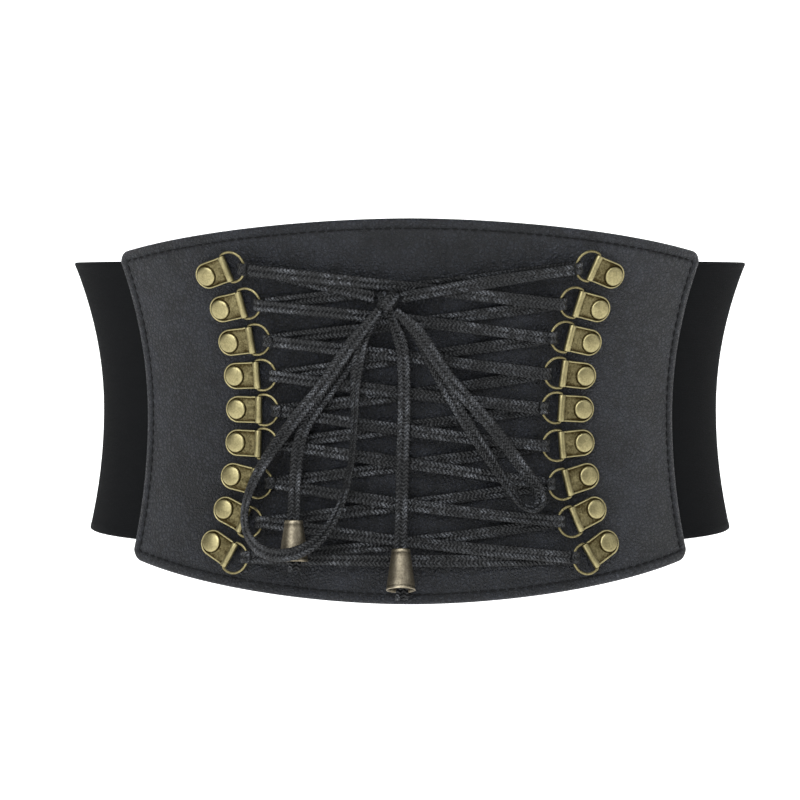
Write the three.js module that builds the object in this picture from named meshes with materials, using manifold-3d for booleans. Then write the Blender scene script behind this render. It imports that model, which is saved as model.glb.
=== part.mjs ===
// A corset belt: a wide curved front panel with two rows of rings laced together, and an elastic back.
// Millimetres, +Z up. The origin is the middle of the waist loop, the front faces -Y, +X is the viewer's right.
import * as THREE from 'three';
import { mergeVertices } from 'three/addons/utils/BufferGeometryUtils.js';
import Module from 'manifold-3d';

// The waist that the belt closes round: its inner half sizes at the waist line and at the elastic's edges
const waistHalfWidth = 136.5;
const waistHalfDepth = 98.5;
const topHalfWidth = 149.5;
const topHalfDepth = 106;
const bottomHalfWidth = 143;
const bottomHalfDepth = 102.5;
const waistLineDrop = 3.6;

// The clearance between pieces that lie on each other
const gap = 0.3;

// The elastic bands
const elasticHeight = 120;
const elasticRise = 1.5;
const elasticWall = 1.5;
const elasticTuck = 14;
const elasticEndSpace = 2;

// The front panel of imitation leather
const panelLength = 249;
const panelHeight = 162.6;
const panelEndHeight = 133;
const panelEdgePower = 1.8;
const panelCorner = 5.5;
const panelWall = 2;

// The strip that closes the back
const closureWidth = 32;
const closureWall = 1.8;

// The hooks: a plate folded round the bar of a D-ring, with a rivet through it
const plateWidth = 11.3;
const plateWall = 1.2;
const plateEnd = 5.2;
const rivetToBar = 10.3;
const rimWidth = 0.9;
const rimHeight = 0.5;
const rivetDiameter = 8.2;
const rivetHeight = 1.8;
const rollWall = 0.65;
const ringWire = 1.1;
const ringShoulder = 1.4;
const ringDepth = 9;
const ringSpace = 0.3;

// The rows of hooks: the rivets' distance from the middle at the waist, and how far the end rows stand out
const rivetFromMiddle = 74.5;
const rowSpread = 8;

// The flat lace, and its bow
const laceWidth = 5.5;
const laceThick = 1.2;
const laceRest = 0.5;
const bowAcross = -9.2;
const bowUp = 47.9;
const bowLift = 7.6;
const bowKnotWidth = 10.5;
const bowKnotHeight = 9.5;
const bowKnotDepth = 8;

// The bell-shaped ends of the lace
const bellHeight = 17.2;
const bellTop = 7.6;
const bellMouth = 12.3;
const bellWall = 0.6;
const endKnotWidth = 8;
const endKnotHeight = 6;
const laceEndOut = 4;

// The hooks from the top row down. out is a share of rowSpread, the tilts are degrees upwards, towards the middle
const hookRows = [
  { out: 0.84, tiltLeft: 18, tiltRight: 20 },
  { out: 0.42, tiltLeft: 12, tiltRight: 14 },
  { out: 0.2, tiltLeft: 7, tiltRight: 12 },
  { out: 0.05, tiltLeft: 3, tiltRight: 7 },
  { out: 0, tiltLeft: 0, tiltRight: 4 },
  { out: 0.03, tiltLeft: -1, tiltRight: -4 },
  { out: 0.22, tiltLeft: -11, tiltRight: -14 },
  { out: 0.5, tiltLeft: -23, tiltRight: -22 },
  { out: 1, tiltLeft: -28, tiltRight: -30 },
];

// The free cords of the bow, chosen along the photograph's lines. Columns: across (x), up (z), lift of the
// tape's middle from the panel's face, turn of the tape's face about its own run in degrees
const bowLoopLeftRoute = [
  [-12.9, 44.9, 10, 0], [-18.2, 38, 10, 0], [-23.6, 31, 9.8, 0], [-29.8, 21.8, 9.2, 0],
  [-37, 10.8, 8.4, 0], [-44.6, 1.2, 8, 5], [-51.6, -8.2, 8, 10], [-58.8, -18.6, 8.4, 15],
  [-64.8, -29, 9, 20], [-68.4, -38.6, 10, 25], [-69.4, -48, 12, 30], [-66.8, -56, 14.6, 30],
  [-61.6, -61, 16.8, 20], [-54.8, -62.8, 18.2, 10], [-47.6, -61.6, 18.6, 0], [-41, -58, 17.2, -15],
  [-35.4, -52.2, 14.6, -30], [-30.4, -43.6, 12, -50], [-27, -34, 10, -65], [-24.8, -23.8, 8.8, -70],
  [-23.6, -12, 8.2, -70], [-23, 0.4, 8, -65], [-22.8, 12, 7.8, -40], [-21.6, 22.6, 7.6, -10],
  [-18.6, 33.8, 7.6, 0], [-12.9, 43.6, 7.6, 0],
];
const laceTailLeftRoute = [
  [-12.7, 44.6, 5.2, 0], [-17.4, 36, 5.2, 0], [-22, 27.4, 5.2, 0], [-27.8, 18, 5.2, 0],
  [-34.2, 8.4, 5.2, 0], [-40.4, -0.4, 5.2, 0], [-45, -9, 5.4, 0], [-47.2, -18.6, 6, 0],
  [-48, -29, 7.6, 0], [-48.4, -37, 9.6, 0], [-48.5, -43, 11.2, 0], [-48.5, -47.2, 11.6, 0],
  [-48.5, -50.2, 11.6, 0], [-48.5, -53.2, 11.6, 0],
];
const laceTailCentreRoute = [
  [-8.2, 43.7, 5.2, 0], [-6.9, 38.4, 5.2, 0], [-4.8, 33, 5, 0], [-3.2, 27, 4.8, 0],
  [-2.6, 18, 4.8, 0], [-2.5, 8.8, 4.8, 0], [-2.6, -1.8, 4.8, 0], [-2.9, -12.2, 4.8, 0],
  [-3.2, -22.8, 5, 0], [-3.4, -33.2, 5.4, 0], [-3.6, -43.8, 5.9, 0], [-3.8, -52, 6.6, 0],
  [-3.8, -58.6, 7.45, 0], [-3.8, -61.7, 7.9, 0], [-3.8, -64.8, 8.3, 0],
];
const bowLoopRightRoute = [
  [-6.1, 44.6, 10, 0], [-2, 41, 10, 0], [2, 37, 10, 0], [6.2, 31, 9.8, 0],
  [10.4, 24, 9.6, 0], [15.8, 15.6, 9.2, 0], [22.6, 7.2, 8.8, 0], [30, -1.4, 8.4, 0],
  [37.2, -10.6, 8.2, 10], [43.6, -19.6, 8, 30], [49.6, -28, 8, 55], [53.6, -34.2, 8, 75],
  [54.8, -39, 8, 85], [51.6, -42.4, 8, 85], [46.6, -40.2, 8, 80], [41.4, -33, 7.8, 60],
  [35.4, -23.6, 7.6, 35], [29, -13.6, 7.2, 15], [22.6, -3.2, 6.9, 0], [16.6, 7.6, 6.8, 0],
  [11.2, 18, 7, 0], [6.6, 27.6, 7.3, 0], [1.4, 35.8, 7.5, 0], [-5.4, 43.8, 7.6, 0],
];

// Sizes that follow from the ones above
const elasticFace = elasticWall;
const panelInside = elasticFace + gap;
const panelFace = panelInside + panelWall;
const waistLine = -waistLineDrop;
const elasticTop = elasticRise + elasticHeight / 2;
const elasticBottom = elasticRise - elasticHeight / 2;
const ringAcross = plateWidth + 2 * ringShoulder;
const hookPitch = ringAcross + ringSpace;
const barBore = ringWire / 2 + gap;
const rollRadius = barBore + rollWall;
const barLift = gap + rollRadius;
const ringRound = (ringAcross - ringWire) / 2;
const ringRoundAt = ringDepth - ringRound;
const laceBelow = laceRest + laceThick / 2;
const laceCrossing = laceBelow + laceThick + gap;
const laceToWire = ringWire / 2 + gap + laceThick / 2;
const ringLift = laceBelow + laceToWire + gap / 2;

// The sheets are drawn in this many rows from edge to edge
const panelRows = 10;
const sheetRows = 9;

const colours = {
  leather: { color: 0x35373b, roughness: 0.6, metalness: 0 },
  elastic: { color: 0x17181a, roughness: 0.9, metalness: 0 },
  brass: { color: 0xa8975c, roughness: 0.35, metalness: 1 },
  bronze: { color: 0x6d6350, roughness: 0.35, metalness: 1 },
  lace: { color: 0x1d1e20, roughness: 0.45, metalness: 0 },
};

const belt = new THREE.Group();

const wasm = await Module();
wasm.setup();

function addPiece(name, geometry, finish, place) {
  const mesh = new THREE.Mesh(geometry, new THREE.MeshStandardMaterial(colours[finish]));
  mesh.name = name;
  if (place) mesh.applyMatrix4(place);
  belt.add(mesh);
}

// How far the loop has widened at a height, from 0 at the waist line to 1 at the elastic's edge
function widening(z) {
  const reach = z > waistLine ? elasticTop - waistLine : waistLine - elasticBottom;
  return ((z - waistLine) / reach) ** 2;
}

function loopHalfWidth(z) {
  const end = z > waistLine ? topHalfWidth : bottomHalfWidth;
  return waistHalfWidth + (end - waistHalfWidth) * widening(z);
}

function loopHalfDepth(z) {
  const end = z > waistLine ? topHalfDepth : bottomHalfDepth;
  return waistHalfDepth + (end - waistHalfDepth) * widening(z);
}

function loopPoint(angle, z) {
  return new THREE.Vector3(loopHalfWidth(z) * Math.sin(angle), -loopHalfDepth(z) * Math.cos(angle), z);
}

// The direction straight out of the loop's surface, and the level direction along it
function loopFrame(angle, z) {
  const step = 1e-3;
  const level = loopPoint(angle + step, z).sub(loopPoint(angle - step, z)).normalize();
  const rise = loopPoint(angle, z + step).sub(loopPoint(angle, z - step)).normalize();
  const out = new THREE.Vector3().crossVectors(level, rise).normalize();
  const up = new THREE.Vector3().crossVectors(out, level);
  return { level, up, out };
}

function onLoop(angle, z, lift) {
  return loopPoint(angle, z).addScaledVector(loopFrame(angle, z).out, lift);
}

// Distance along the panel's face at the waist line, turned into an angle round the loop
const arcSteps = 720;
const arcTable = [0];
for (let i = 1; i <= arcSteps; i += 1) {
  const from = onLoop(Math.PI * (i - 1) / arcSteps, waistLine, panelFace);
  const to = onLoop(Math.PI * i / arcSteps, waistLine, panelFace);
  arcTable.push(arcTable[i - 1] + from.distanceTo(to));
}

function angleAt(distance) {
  const length = Math.abs(distance);
  let i = 1;
  while (i < arcSteps && arcTable[i] < length) i += 1;
  const share = (length - arcTable[i - 1]) / (arcTable[i] - arcTable[i - 1]);
  return Math.sign(distance) * Math.PI * (i - 1 + share) / arcSteps;
}

// The point of the panel's face at a level distance x from the middle, lifted off it
function overPanel(x, z, lift) {
  const height = panelFace + lift;
  let angle = Math.asin(x / (loopHalfWidth(z) + height));
  for (let i = 0; i < 4; i += 1) {
    const beside = loopFrame(angle, z).out.x * height;
    angle = Math.asin((x - beside) / loopHalfWidth(z));
  }
  return { point: onLoop(angle, z, height), out: loopFrame(angle, z).out };
}

// The angle and height on the loop that lie behind a point, and how far it stands off the panel's face
function behind(point) {
  let angle = Math.atan2(point.x / waistHalfWidth, -point.y / waistHalfDepth);
  let z = point.z;
  let lift = 0;
  for (let i = 0; i < 6; i += 1) {
    const frame = loopFrame(angle, z);
    const off = point.clone().sub(loopPoint(angle, z));
    lift = off.dot(frame.out);
    angle += off.dot(frame.level) / loopPoint(angle, z).setZ(0).length();
    z += off.dot(frame.up);
  }
  return { angle, z, lift: lift - panelFace };
}

// A closed mesh from rings of points: each ring has the same number of points, in the same order
function skinRings(rings, closed) {
  const count = rings[0].length;
  const positions = rings.flat().flatMap((point) => [point.x, point.y, point.z]);
  const index = [];
  const last = closed ? rings.length : rings.length - 1;
  for (let i = 0; i < last; i += 1) {
    const next = (i + 1) % rings.length;
    for (let j = 0; j < count; j += 1) {
      const k = (j + 1) % count;
      index.push(i * count + j, next * count + k, i * count + k);
      index.push(i * count + j, next * count + j, next * count + k);
    }
  }
  if (!closed) {
    const end = (rings.length - 1) * count;
    for (let j = 1; j < count - 1; j += 1) {
      index.push(0, j, j + 1);
      index.push(end, end + j + 1, end + j);
    }
  }
  const geometry = new THREE.BufferGeometry();
  geometry.setAttribute('position', new THREE.Float32BufferAttribute(positions, 3));
  geometry.setIndex(index);
  return geometry;
}

// A sheet of one thickness that follows the loop. Each column has an angle, a bottom and a top height
function sheet(columns, rows, inside, outside) {
  const rings = columns.map(({ angle, bottom, top }) => {
    const ring = [];
    for (let j = 0; j <= rows; j += 1) ring.push(onLoop(angle, bottom + (top - bottom) * j / rows, outside));
    for (let j = rows; j >= 0; j -= 1) ring.push(onLoop(angle, bottom + (top - bottom) * j / rows, inside));
    return ring;
  });
  const count = 2 * rows + 2;
  const positions = rings.flat().flatMap((point) => [point.x, point.y, point.z]);
  const index = [];
  for (let i = 0; i < rings.length - 1; i += 1) {
    for (let j = 0; j < count; j += 1) {
      const k = (j + 1) % count;
      const a = i * count + j;
      const b = i * count + k;
      index.push(a, b + count, b, a, a + count, b + count);
    }
  }
  const end = (rings.length - 1) * count;
  for (let j = 0; j < rows; j += 1) {
    const a = j;
    const b = j + 1;
    const c = count - 2 - j;
    const d = count - 1 - j;
    index.push(a, b, c, a, c, d);
    index.push(end + a, end + c, end + b, end + a, end + d, end + c);
  }
  const geometry = new THREE.BufferGeometry();
  geometry.setAttribute('position', new THREE.Float32BufferAttribute(positions, 3));
  geometry.setIndex(index);
  return geometry;
}

// The panel: rounded corners, and long edges that rise to the middle
function panelHalfHeight(distance) {
  const half = panelLength / 2;
  const fall = (panelHeight - panelEndHeight) / 2 * (Math.abs(distance) / half) ** panelEdgePower;
  const intoCorner = Math.max(0, Math.abs(distance) - (half - panelCorner));
  const rounding = panelCorner - Math.sqrt(Math.max(0, panelCorner ** 2 - intoCorner ** 2));
  return panelHeight / 2 - fall - rounding;
}

function panelColumns() {
  const straight = panelLength / 2 - panelCorner;
  const distances = [];
  const fields = 22;
  for (let i = 0; i <= fields; i += 1) distances.push(straight * (2 * i / fields - 1));
  for (const turn of [30, 60, 90]) {
    const reach = straight + panelCorner * Math.sin(THREE.MathUtils.degToRad(turn));
    distances.push(reach);
    distances.unshift(-reach);
  }
  return distances.map((distance) => {
    const half = panelHalfHeight(distance);
    return { angle: angleAt(distance), bottom: -half, top: half };
  });
}

addPiece('panel', sheet(panelColumns(), panelRows, panelInside, panelFace), 'leather');

// The elastics, from behind the panel's ends to the middle of the back
function elasticColumns(side) {
  const start = angleAt(panelLength / 2 - elasticTuck);
  const end = Math.PI - elasticEndSpace / 2 / loopHalfWidth(0);
  const fields = 16;
  const columns = [];
  for (let i = 0; i <= fields; i += 1) {
    const angle = side * (start + (end - start) * i / fields);
    columns.push({ angle, bottom: elasticBottom, top: elasticTop });
  }
  return side > 0 ? columns : columns.reverse();
}

for (const [name, side] of [['left', -1], ['right', 1]]) {
  addPiece(`elastic_${name}`, sheet(elasticColumns(side), sheetRows, 0, elasticFace), 'elastic');
}

// The back closure lies over the ends of both elastics
function closureColumns() {
  const half = closureWidth / 2 / loopHalfWidth(0);
  const fields = 2;
  const columns = [];
  for (let i = 0; i <= fields; i += 1) {
    columns.push({ angle: Math.PI + half * (2 * i / fields - 1), bottom: elasticBottom, top: elasticTop });
  }
  return columns;
}

const closureInside = elasticFace + gap;
addPiece('back_closure', sheet(closureColumns(), sheetRows, closureInside, closureInside + closureWall), 'leather');

// Joins closed meshes into one
function toSolid(geometry) {
  const plain = geometry.clone();
  plain.deleteAttribute('normal');
  plain.deleteAttribute('uv');
  const merged = mergeVertices(plain, 1e-4);
  return new wasm.Manifold(new wasm.Mesh({
    numProp: 3,
    vertProperties: new Float32Array(merged.attributes.position.array),
    triVerts: new Uint32Array(merged.index.array),
  }));
}

function fromSolid(solid) {
  const mesh = solid.getMesh();
  const geometry = new THREE.BufferGeometry();
  geometry.setAttribute('position', new THREE.BufferAttribute(mesh.vertProperties, 3));
  geometry.setIndex(new THREE.BufferAttribute(mesh.triVerts, 1));
  return geometry;
}

// The plan of a plate: straight sides, and a round end beyond the rivet
function plateOutline(half, from, to) {
  const shape = new THREE.Shape();
  shape.moveTo(to, -half);
  shape.lineTo(to, half);
  shape.lineTo(from + half, half);
  shape.absarc(from + half, 0, half, Math.PI / 2, Math.PI * 3 / 2, false);
  shape.closePath();
  return shape;
}

// One hook plate. X runs from the rivet to the ring, Z stands off the panel's face
function plateGeometry() {
  const arcs = { curveSegments: 3, bevelEnabled: false };
  const half = plateWidth / 2;
  const flatEnd = rivetToBar - barBore - rollWall / 2;
  const flat = new THREE.ExtrudeGeometry(plateOutline(half, -plateEnd, flatEnd), { ...arcs, depth: plateWall });
  flat.translate(0, 0, gap);

  const rimEnd = rivetToBar - rollRadius - rimWidth / 2;
  const rimShape = plateOutline(half, -plateEnd, rimEnd);
  const inner = plateOutline(half - rimWidth, rimWidth - plateEnd, rimEnd + rimWidth);
  const rimOuter = new THREE.ExtrudeGeometry(rimShape, { ...arcs, depth: plateWall + rimHeight });
  const rimInner = new THREE.ExtrudeGeometry(inner, { ...arcs, depth: plateWall + rimHeight });
  rimOuter.translate(0, 0, gap);
  rimInner.translate(0, 0, gap + plateWall);

  const rollShape = new THREE.Shape();
  rollShape.absarc(0, 0, rollRadius, 0, Math.PI * 2, false);
  const bore = new THREE.Path();
  bore.absarc(0, 0, barBore, 0, Math.PI * 2, true);
  rollShape.holes.push(bore);
  const roll = new THREE.ExtrudeGeometry(rollShape, { ...arcs, curveSegments: 4, depth: plateWidth });
  roll.translate(0, 0, -half);
  roll.rotateX(Math.PI / 2);
  roll.translate(rivetToBar, 0, barLift);

  const rivetRadius = rivetDiameter / 2;
  const rivetFoot = gap + plateWall / 2;
  const rivetTop = gap + plateWall + rivetHeight;
  const dome = new THREE.LatheGeometry([
    new THREE.Vector2(0, rivetFoot),
    new THREE.Vector2(rivetRadius, rivetFoot),
    new THREE.Vector2(rivetRadius, rivetTop - rivetHeight * 0.5),
    new THREE.Vector2(rivetRadius * 0.7, rivetTop - rivetHeight * 0.1),
    new THREE.Vector2(0, rivetTop),
  ], 8);
  dome.rotateX(Math.PI / 2);

  const rim = toSolid(rimOuter).subtract(toSolid(rimInner));
  return fromSolid(toSolid(flat).add(rim).add(toSolid(roll)).add(toSolid(dome)));
}

// One D-ring. X runs from the middle of its bar to the round end, in the ring's own plane. The round end starts
// a little past its widest place, and the bar reaches a share of the shoulder past the plate
const ringStart = -98;
const barShare = 0.35;

function ringGeometry() {
  const barHalf = plateWidth / 2 + ringShoulder * barShare;
  const path = [[0, barHalf], [0, -barHalf]];
  const arcs = 7;
  const start = THREE.MathUtils.degToRad(ringStart);
  for (let i = 0; i <= arcs; i += 1) {
    const turn = start - 2 * start * i / arcs;
    path.push([ringRoundAt + ringRound * Math.cos(turn), ringRound * Math.sin(turn)]);
  }
  const sides = 5;
  const rings = path.map(([x, y], i) => {
    const before = path[(i + path.length - 1) % path.length];
    const after = path[(i + 1) % path.length];
    const run = new THREE.Vector2(after[0] - before[0], after[1] - before[1]).normalize();
    const ring = [];
    for (let j = 0; j < sides; j += 1) {
      const turn = 2 * Math.PI * j / sides;
      const beside = Math.cos(turn) * ringWire / 2;
      ring.push(new THREE.Vector3(x + run.y * beside, y - run.x * beside, Math.sin(turn) * ringWire / 2));
    }
    return ring;
  });
  return skinRings(rings, true);
}

// Where a hook lies on the panel: its axes, its bar and its ring's plane
function hookPlace(side, row) {
  const { out, tiltLeft, tiltRight } = hookRows[row];
  const angle = angleAt(side * (rivetFromMiddle + out * rowSpread));
  const z = ((hookRows.length - 1) / 2 - row) * hookPitch;
  const tilt = THREE.MathUtils.degToRad(side < 0 ? tiltLeft : tiltRight);
  const frame = loopFrame(angle, z);
  const rivet = onLoop(angle, z, panelFace);
  const along = frame.level.clone().multiplyScalar(-side * Math.cos(tilt)).addScaledVector(frame.up, Math.sin(tilt));
  const across = new THREE.Vector3().crossVectors(frame.out, along);
  const plate = new THREE.Matrix4().makeBasis(along, across, frame.out).setPosition(rivet);
  const bar = rivet.clone().addScaledVector(along, rivetToBar).addScaledVector(frame.out, barLift);
  const farEnd = behind(bar.clone().addScaledVector(along, ringDepth));
  const apex = onLoop(farEnd.angle, farEnd.z, panelFace + ringLift);
  const reach = apex.sub(bar).normalize();
  const over = new THREE.Vector3().crossVectors(reach, across).normalize();
  const beside = new THREE.Vector3().crossVectors(over, reach);
  const ring = new THREE.Matrix4().makeBasis(reach, beside, over).setPosition(bar);
  return { side, plate, ring, centre: bar.clone().addScaledVector(reach, ringRoundAt) };
}

const plate = plateGeometry();
const ring = ringGeometry();
const hooks = { left: [], right: [] };
for (const [name, side] of [['left', -1], ['right', 1]]) {
  for (let row = 0; row < hookRows.length; row += 1) {
    const place = hookPlace(side, row);
    hooks[name].push(place);
    addPiece(`hook_plate_${name}_${row + 1}`, plate.clone(), 'brass', place.plate);
    addPiece(`ring_${name}_${row + 1}`, ring.clone(), 'brass', place.ring);
  }
}

// The place where the lace pulls on a ring: the point of its round end nearest the middle of the belt
function pullPoint(hook) {
  const level = new THREE.Vector3(-hook.side, 0, 0);
  const x = new THREE.Vector3();
  const y = new THREE.Vector3();
  const z = new THREE.Vector3();
  hook.ring.extractBasis(x, y, z);
  const pull = level.addScaledVector(z, -level.dot(z)).normalize();
  const wire = hook.centre.clone().addScaledVector(pull, ringRound);
  const { angle, z: height, lift } = behind(wire);
  return { angle, z: height, lift, wire, pull, beside: new THREE.Vector3().crossVectors(z, pull), out: z };
}

// A section of the flat lace, with six or eight corners, in the plane of its width and its thickness. The shares
// are of the half width that is flat, and of the half thickness that the eight-cornered edge has
const sixFlat = 0.78;
const eightFlat = 0.7;
const eightEdge = 0.4;

function laceSection(middle, widthwise, facing, width, corners) {
  const w = width / 2;
  const t = laceThick / 2;
  const flat6 = sixFlat * w;
  const flat8 = eightFlat * w;
  const edge = eightEdge * t;
  const six = [[w, 0], [flat6, t], [-flat6, t], [-w, 0], [-flat6, -t], [flat6, -t]];
  const eight = [
    [w, edge], [flat8, t], [-flat8, t], [-w, edge],
    [-w, -edge], [-flat8, -t], [flat8, -t], [w, -edge],
  ];
  return (corners === 6 ? six : eight).map(([a, b]) => (
    middle.clone().addScaledVector(widthwise, a).addScaledVector(facing, b)));
}

// The lacing: down from the knot through every second ring, across the foot, and back up through the others.
// The lace is squeezed to a share of its width where it turns round a ring, and a run starts just past the turn
const turnShare = 0.76;
const nearRing = 0.05;
const turnWidth = laceWidth * turnShare;
const wireBow = ringRound - Math.sqrt(ringRound ** 2 - (turnWidth / 2) ** 2);

function lacingStations() {
  const last = hookRows.length - 1;
  const visits = [];
  for (let row = 0; row <= last; row += 1) visits.push(row % 2 === 0 ? hooks.left[row] : hooks.right[row]);
  for (let row = last; row >= 0; row -= 1) visits.push(row % 2 === 0 ? hooks.right[row] : hooks.left[row]);
  const pulls = visits.map(pullPoint);
  const knot = overPanel(bowAcross, bowUp, laceCrossing + laceThick + gap);
  const knotBehind = behind(knot.point);
  const stations = [];

  // A run over the panel between two places, with the heights it has at its start, middle and end
  function addRun(from, to, heights, steps, ends) {
    for (let i = 0; i <= steps; i += 1) {
      const share = ends[0] + (ends[1] - ends[0]) * i / steps;
      const angle = from.angle + (to.angle - from.angle) * share;
      const z = from.z + (to.z - from.z) * share;
      const lift = share < 0.5
        ? THREE.MathUtils.lerp(heights[0], heights[1], Math.min(1, share / 0.5))
        : THREE.MathUtils.lerp(heights[1], heights[2], (share - 0.5) / 0.5);
      stations.push({ middle: onLoop(angle, z, panelFace + lift), facing: loopFrame(angle, z).out, width: laceWidth });
    }
  }

  // The turn round a ring's wire, entered from below or from above
  function addTurn(pull, fromBelow) {
    const order = fromBelow ? [-90, -30, 30, 90] : [90, 30, -30, -90];
    for (const degrees of order) {
      const turn = THREE.MathUtils.degToRad(degrees);
      const middle = pull.wire.clone()
        .addScaledVector(pull.out, laceToWire * Math.sin(turn))
        .addScaledVector(pull.pull, -(laceToWire + wireBow) * Math.cos(turn));
      const facing = pull.out.clone().multiplyScalar(Math.sin(turn)).addScaledVector(pull.pull, -Math.cos(turn));
      stations.push({ middle, facing: fromBelow ? facing.negate() : facing, width: turnWidth, beside: pull.beside });
    }
  }

  const heightAt = (pull, above) => pull.lift + (above ? laceToWire : -laceToWire);
  const steps = 5;
  const knotReach = 1 - (bowKnotWidth / 2 + gap) / Math.abs(knot.point.x - pulls[0].wire.x);
  const bowHeight = laceCrossing + laceThick + gap;
  addRun(knotBehind, pulls[0], [bowHeight, laceBelow, heightAt(pulls[0], false)], steps, [1 - knotReach, 1 - nearRing]);
  pulls.forEach((pull, i) => {
    const fromBelow = i === 0 || i === last + 1 || (i <= last ? i % 2 === 0 : (i - last) % 2 === 1);
    addTurn(pull, fromBelow);
    if (i === pulls.length - 1) return;
    const next = pulls[i + 1];
    const leaveAbove = fromBelow;
    const foot = i === last;
    const arriveAbove = foot ? false : leaveAbove;
    const middle = foot || leaveAbove ? laceCrossing : laceBelow;
    const heights = [heightAt(pull, leaveAbove), middle, heightAt(next, arriveAbove)];
    addRun(pull, next, heights, steps, [nearRing, 1 - nearRing]);
  });
  const end = pulls[pulls.length - 1];
  const endReach = 1 - (bowKnotWidth / 2 + gap) / Math.abs(knot.point.x - end.wire.x);
  addRun(end, knotBehind, [heightAt(end, true), bowHeight, bowHeight], steps, [nearRing, endReach]);
  return stations;
}

function tapeSkin(stations, corners) {
  const rings = stations.map((station, i) => {
    const before = stations[Math.max(0, i - 1)].middle;
    const after = stations[Math.min(stations.length - 1, i + 1)].middle;
    const run = after.clone().sub(before).normalize();
    const widthwise = new THREE.Vector3().crossVectors(run, station.facing).normalize();
    const facing = new THREE.Vector3().crossVectors(widthwise, run).normalize();
    return laceSection(station.middle, widthwise, facing, station.width, corners);
  });
  return skinRings(rings, false);
}

addPiece('lacing', tapeSkin(lacingStations(), 6), 'lace');

// The bow's knot
function blob(width, depth, height, around, down) {
  const geometry = new THREE.SphereGeometry(0.5, around, down);
  geometry.rotateX(Math.PI / 2);
  geometry.scale(width, depth, height);
  return geometry;
}

function bare(geometry) {
  geometry.deleteAttribute('normal');
  geometry.deleteAttribute('uv');
  return mergeVertices(geometry, 1e-4);
}

const knotAt = overPanel(bowAcross, bowUp, bowLift);
const knotAcross = new THREE.Vector3().crossVectors(new THREE.Vector3(0, 0, 1), knotAt.out).normalize();
const knotUp = new THREE.Vector3().crossVectors(knotAt.out, knotAcross);
addPiece('lace_knot', bare(blob(bowKnotWidth, bowKnotDepth, bowKnotHeight, 10, 6)), 'lace',
  new THREE.Matrix4().makeBasis(knotAcross, knotAt.out.clone().negate(), knotUp).setPosition(knotAt.point));

// The bow's free cords: flat tapes along their routes, gathered to a share of their width where they leave the
// knot, and wider by another share at each point of the route after it
const gathered = 0.6;
const gatherEase = 0.2;

function freeCord(route, steps, gatheredStart, gatheredEnd) {
  const curve = new THREE.CatmullRomCurve3(route.map(([x, z, lift]) => overPanel(x, z, lift).point), false, 'centripetal');
  const stations = [];
  for (let i = 0; i <= steps; i += 1) {
    const share = i / steps;
    const middle = curve.getPoint(share);
    const place = share * (route.length - 1);
    const from = Math.min(route.length - 2, Math.floor(place));
    const turn = THREE.MathUtils.degToRad(THREE.MathUtils.lerp(route[from][3], route[from + 1][3], place - from));
    const run = curve.getTangent(share);
    const flat = overPanel(middle.x, middle.z, 0).out;
    const facing = flat.clone().addScaledVector(run, -flat.dot(run)).normalize().applyAxisAngle(run, turn);
    const nearest = Math.min(gatheredStart ? place : 9, gatheredEnd ? route.length - 1 - place : 9);
    const width = laceWidth * Math.min(1, gathered + gatherEase * nearest);
    stations.push({ middle, facing, width });
  }
  return tapeSkin(stations, 8);
}

addPiece('bow_loop_left', freeCord(bowLoopLeftRoute, 25, true, true), 'lace');
addPiece('bow_loop_right', freeCord(bowLoopRightRoute, 23, true, true), 'lace');
addPiece('lace_tail_left', freeCord(laceTailLeftRoute, 12, true, false), 'lace');
addPiece('lace_tail_centre', freeCord(laceTailCentreRoute, 13, true, false), 'lace');

// The bells hang round the ends of the tails. A knot in the lace, drawn up into the bell, holds each, and the
// lace's cut end comes out of the mouth below it
const bellSides = 12;

function bellGeometry() {
  const profile = [
    new THREE.Vector2(bellMouth / 2 - bellWall, 0),
    new THREE.Vector2(bellMouth / 2, 0),
    new THREE.Vector2(bellTop / 2, bellHeight),
    new THREE.Vector2(bellTop / 2 - bellWall, bellHeight),
    new THREE.Vector2(bellMouth / 2 - bellWall, 0),
  ];
  const geometry = new THREE.LatheGeometry(profile, bellSides);
  geometry.rotateX(Math.PI / 2);
  return bare(geometry);
}

// How far below the bell's top its inside is wide enough for the knot
const knotFit = 2 * ((endKnotWidth / 2 + gap) / Math.cos(Math.PI / bellSides) + bellWall);
const knotDown = (knotFit - bellTop) / (bellMouth - bellTop) * bellHeight;

function addBell(name, route) {
  const [above, tip] = [route.length - 3, route.length - 1].map((i) => {
    const [x, z, lift] = route[i];
    return overPanel(x, z, lift).point;
  });
  const up = above.sub(tip).normalize();
  const turned = new THREE.Matrix4().makeRotationFromQuaternion(
    new THREE.Quaternion().setFromUnitVectors(new THREE.Vector3(0, 0, 1), up));
  const belowTip = (drop) => turned.clone().setPosition(tip.clone().addScaledVector(up, -drop));
  const knotDrop = gap + endKnotHeight / 2;
  const mouthDrop = knotDrop + bellHeight - knotDown;
  const endLength = mouthDrop - knotDrop + laceEndOut;
  const lastEnd = new THREE.BoxGeometry(laceWidth, laceThick, endLength).translate(0, 0, -endLength / 2);
  const tied = toSolid(blob(endKnotWidth, endKnotWidth, endKnotHeight, 8, 5)).add(toSolid(lastEnd));
  addPiece(`bell_${name}`, bellGeometry(), 'bronze', belowTip(mouthDrop));
  addPiece(`end_knot_${name}`, fromSolid(tied), 'lace', belowTip(knotDrop));
}

addBell('left', laceTailLeftRoute);
addBell('centre', laceTailCentreRoute);

export default belt;
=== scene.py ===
# A corset belt: a wide front of imitation leather, laced through two rows of D-ring hooks, with an
# elastic back.
# Lengths are in millimetres until a mesh is made. The front faces -Y, +X is the viewer's right.
import math
import random

import bpy
import numpy as np
from mathutils import Matrix, Vector


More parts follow.
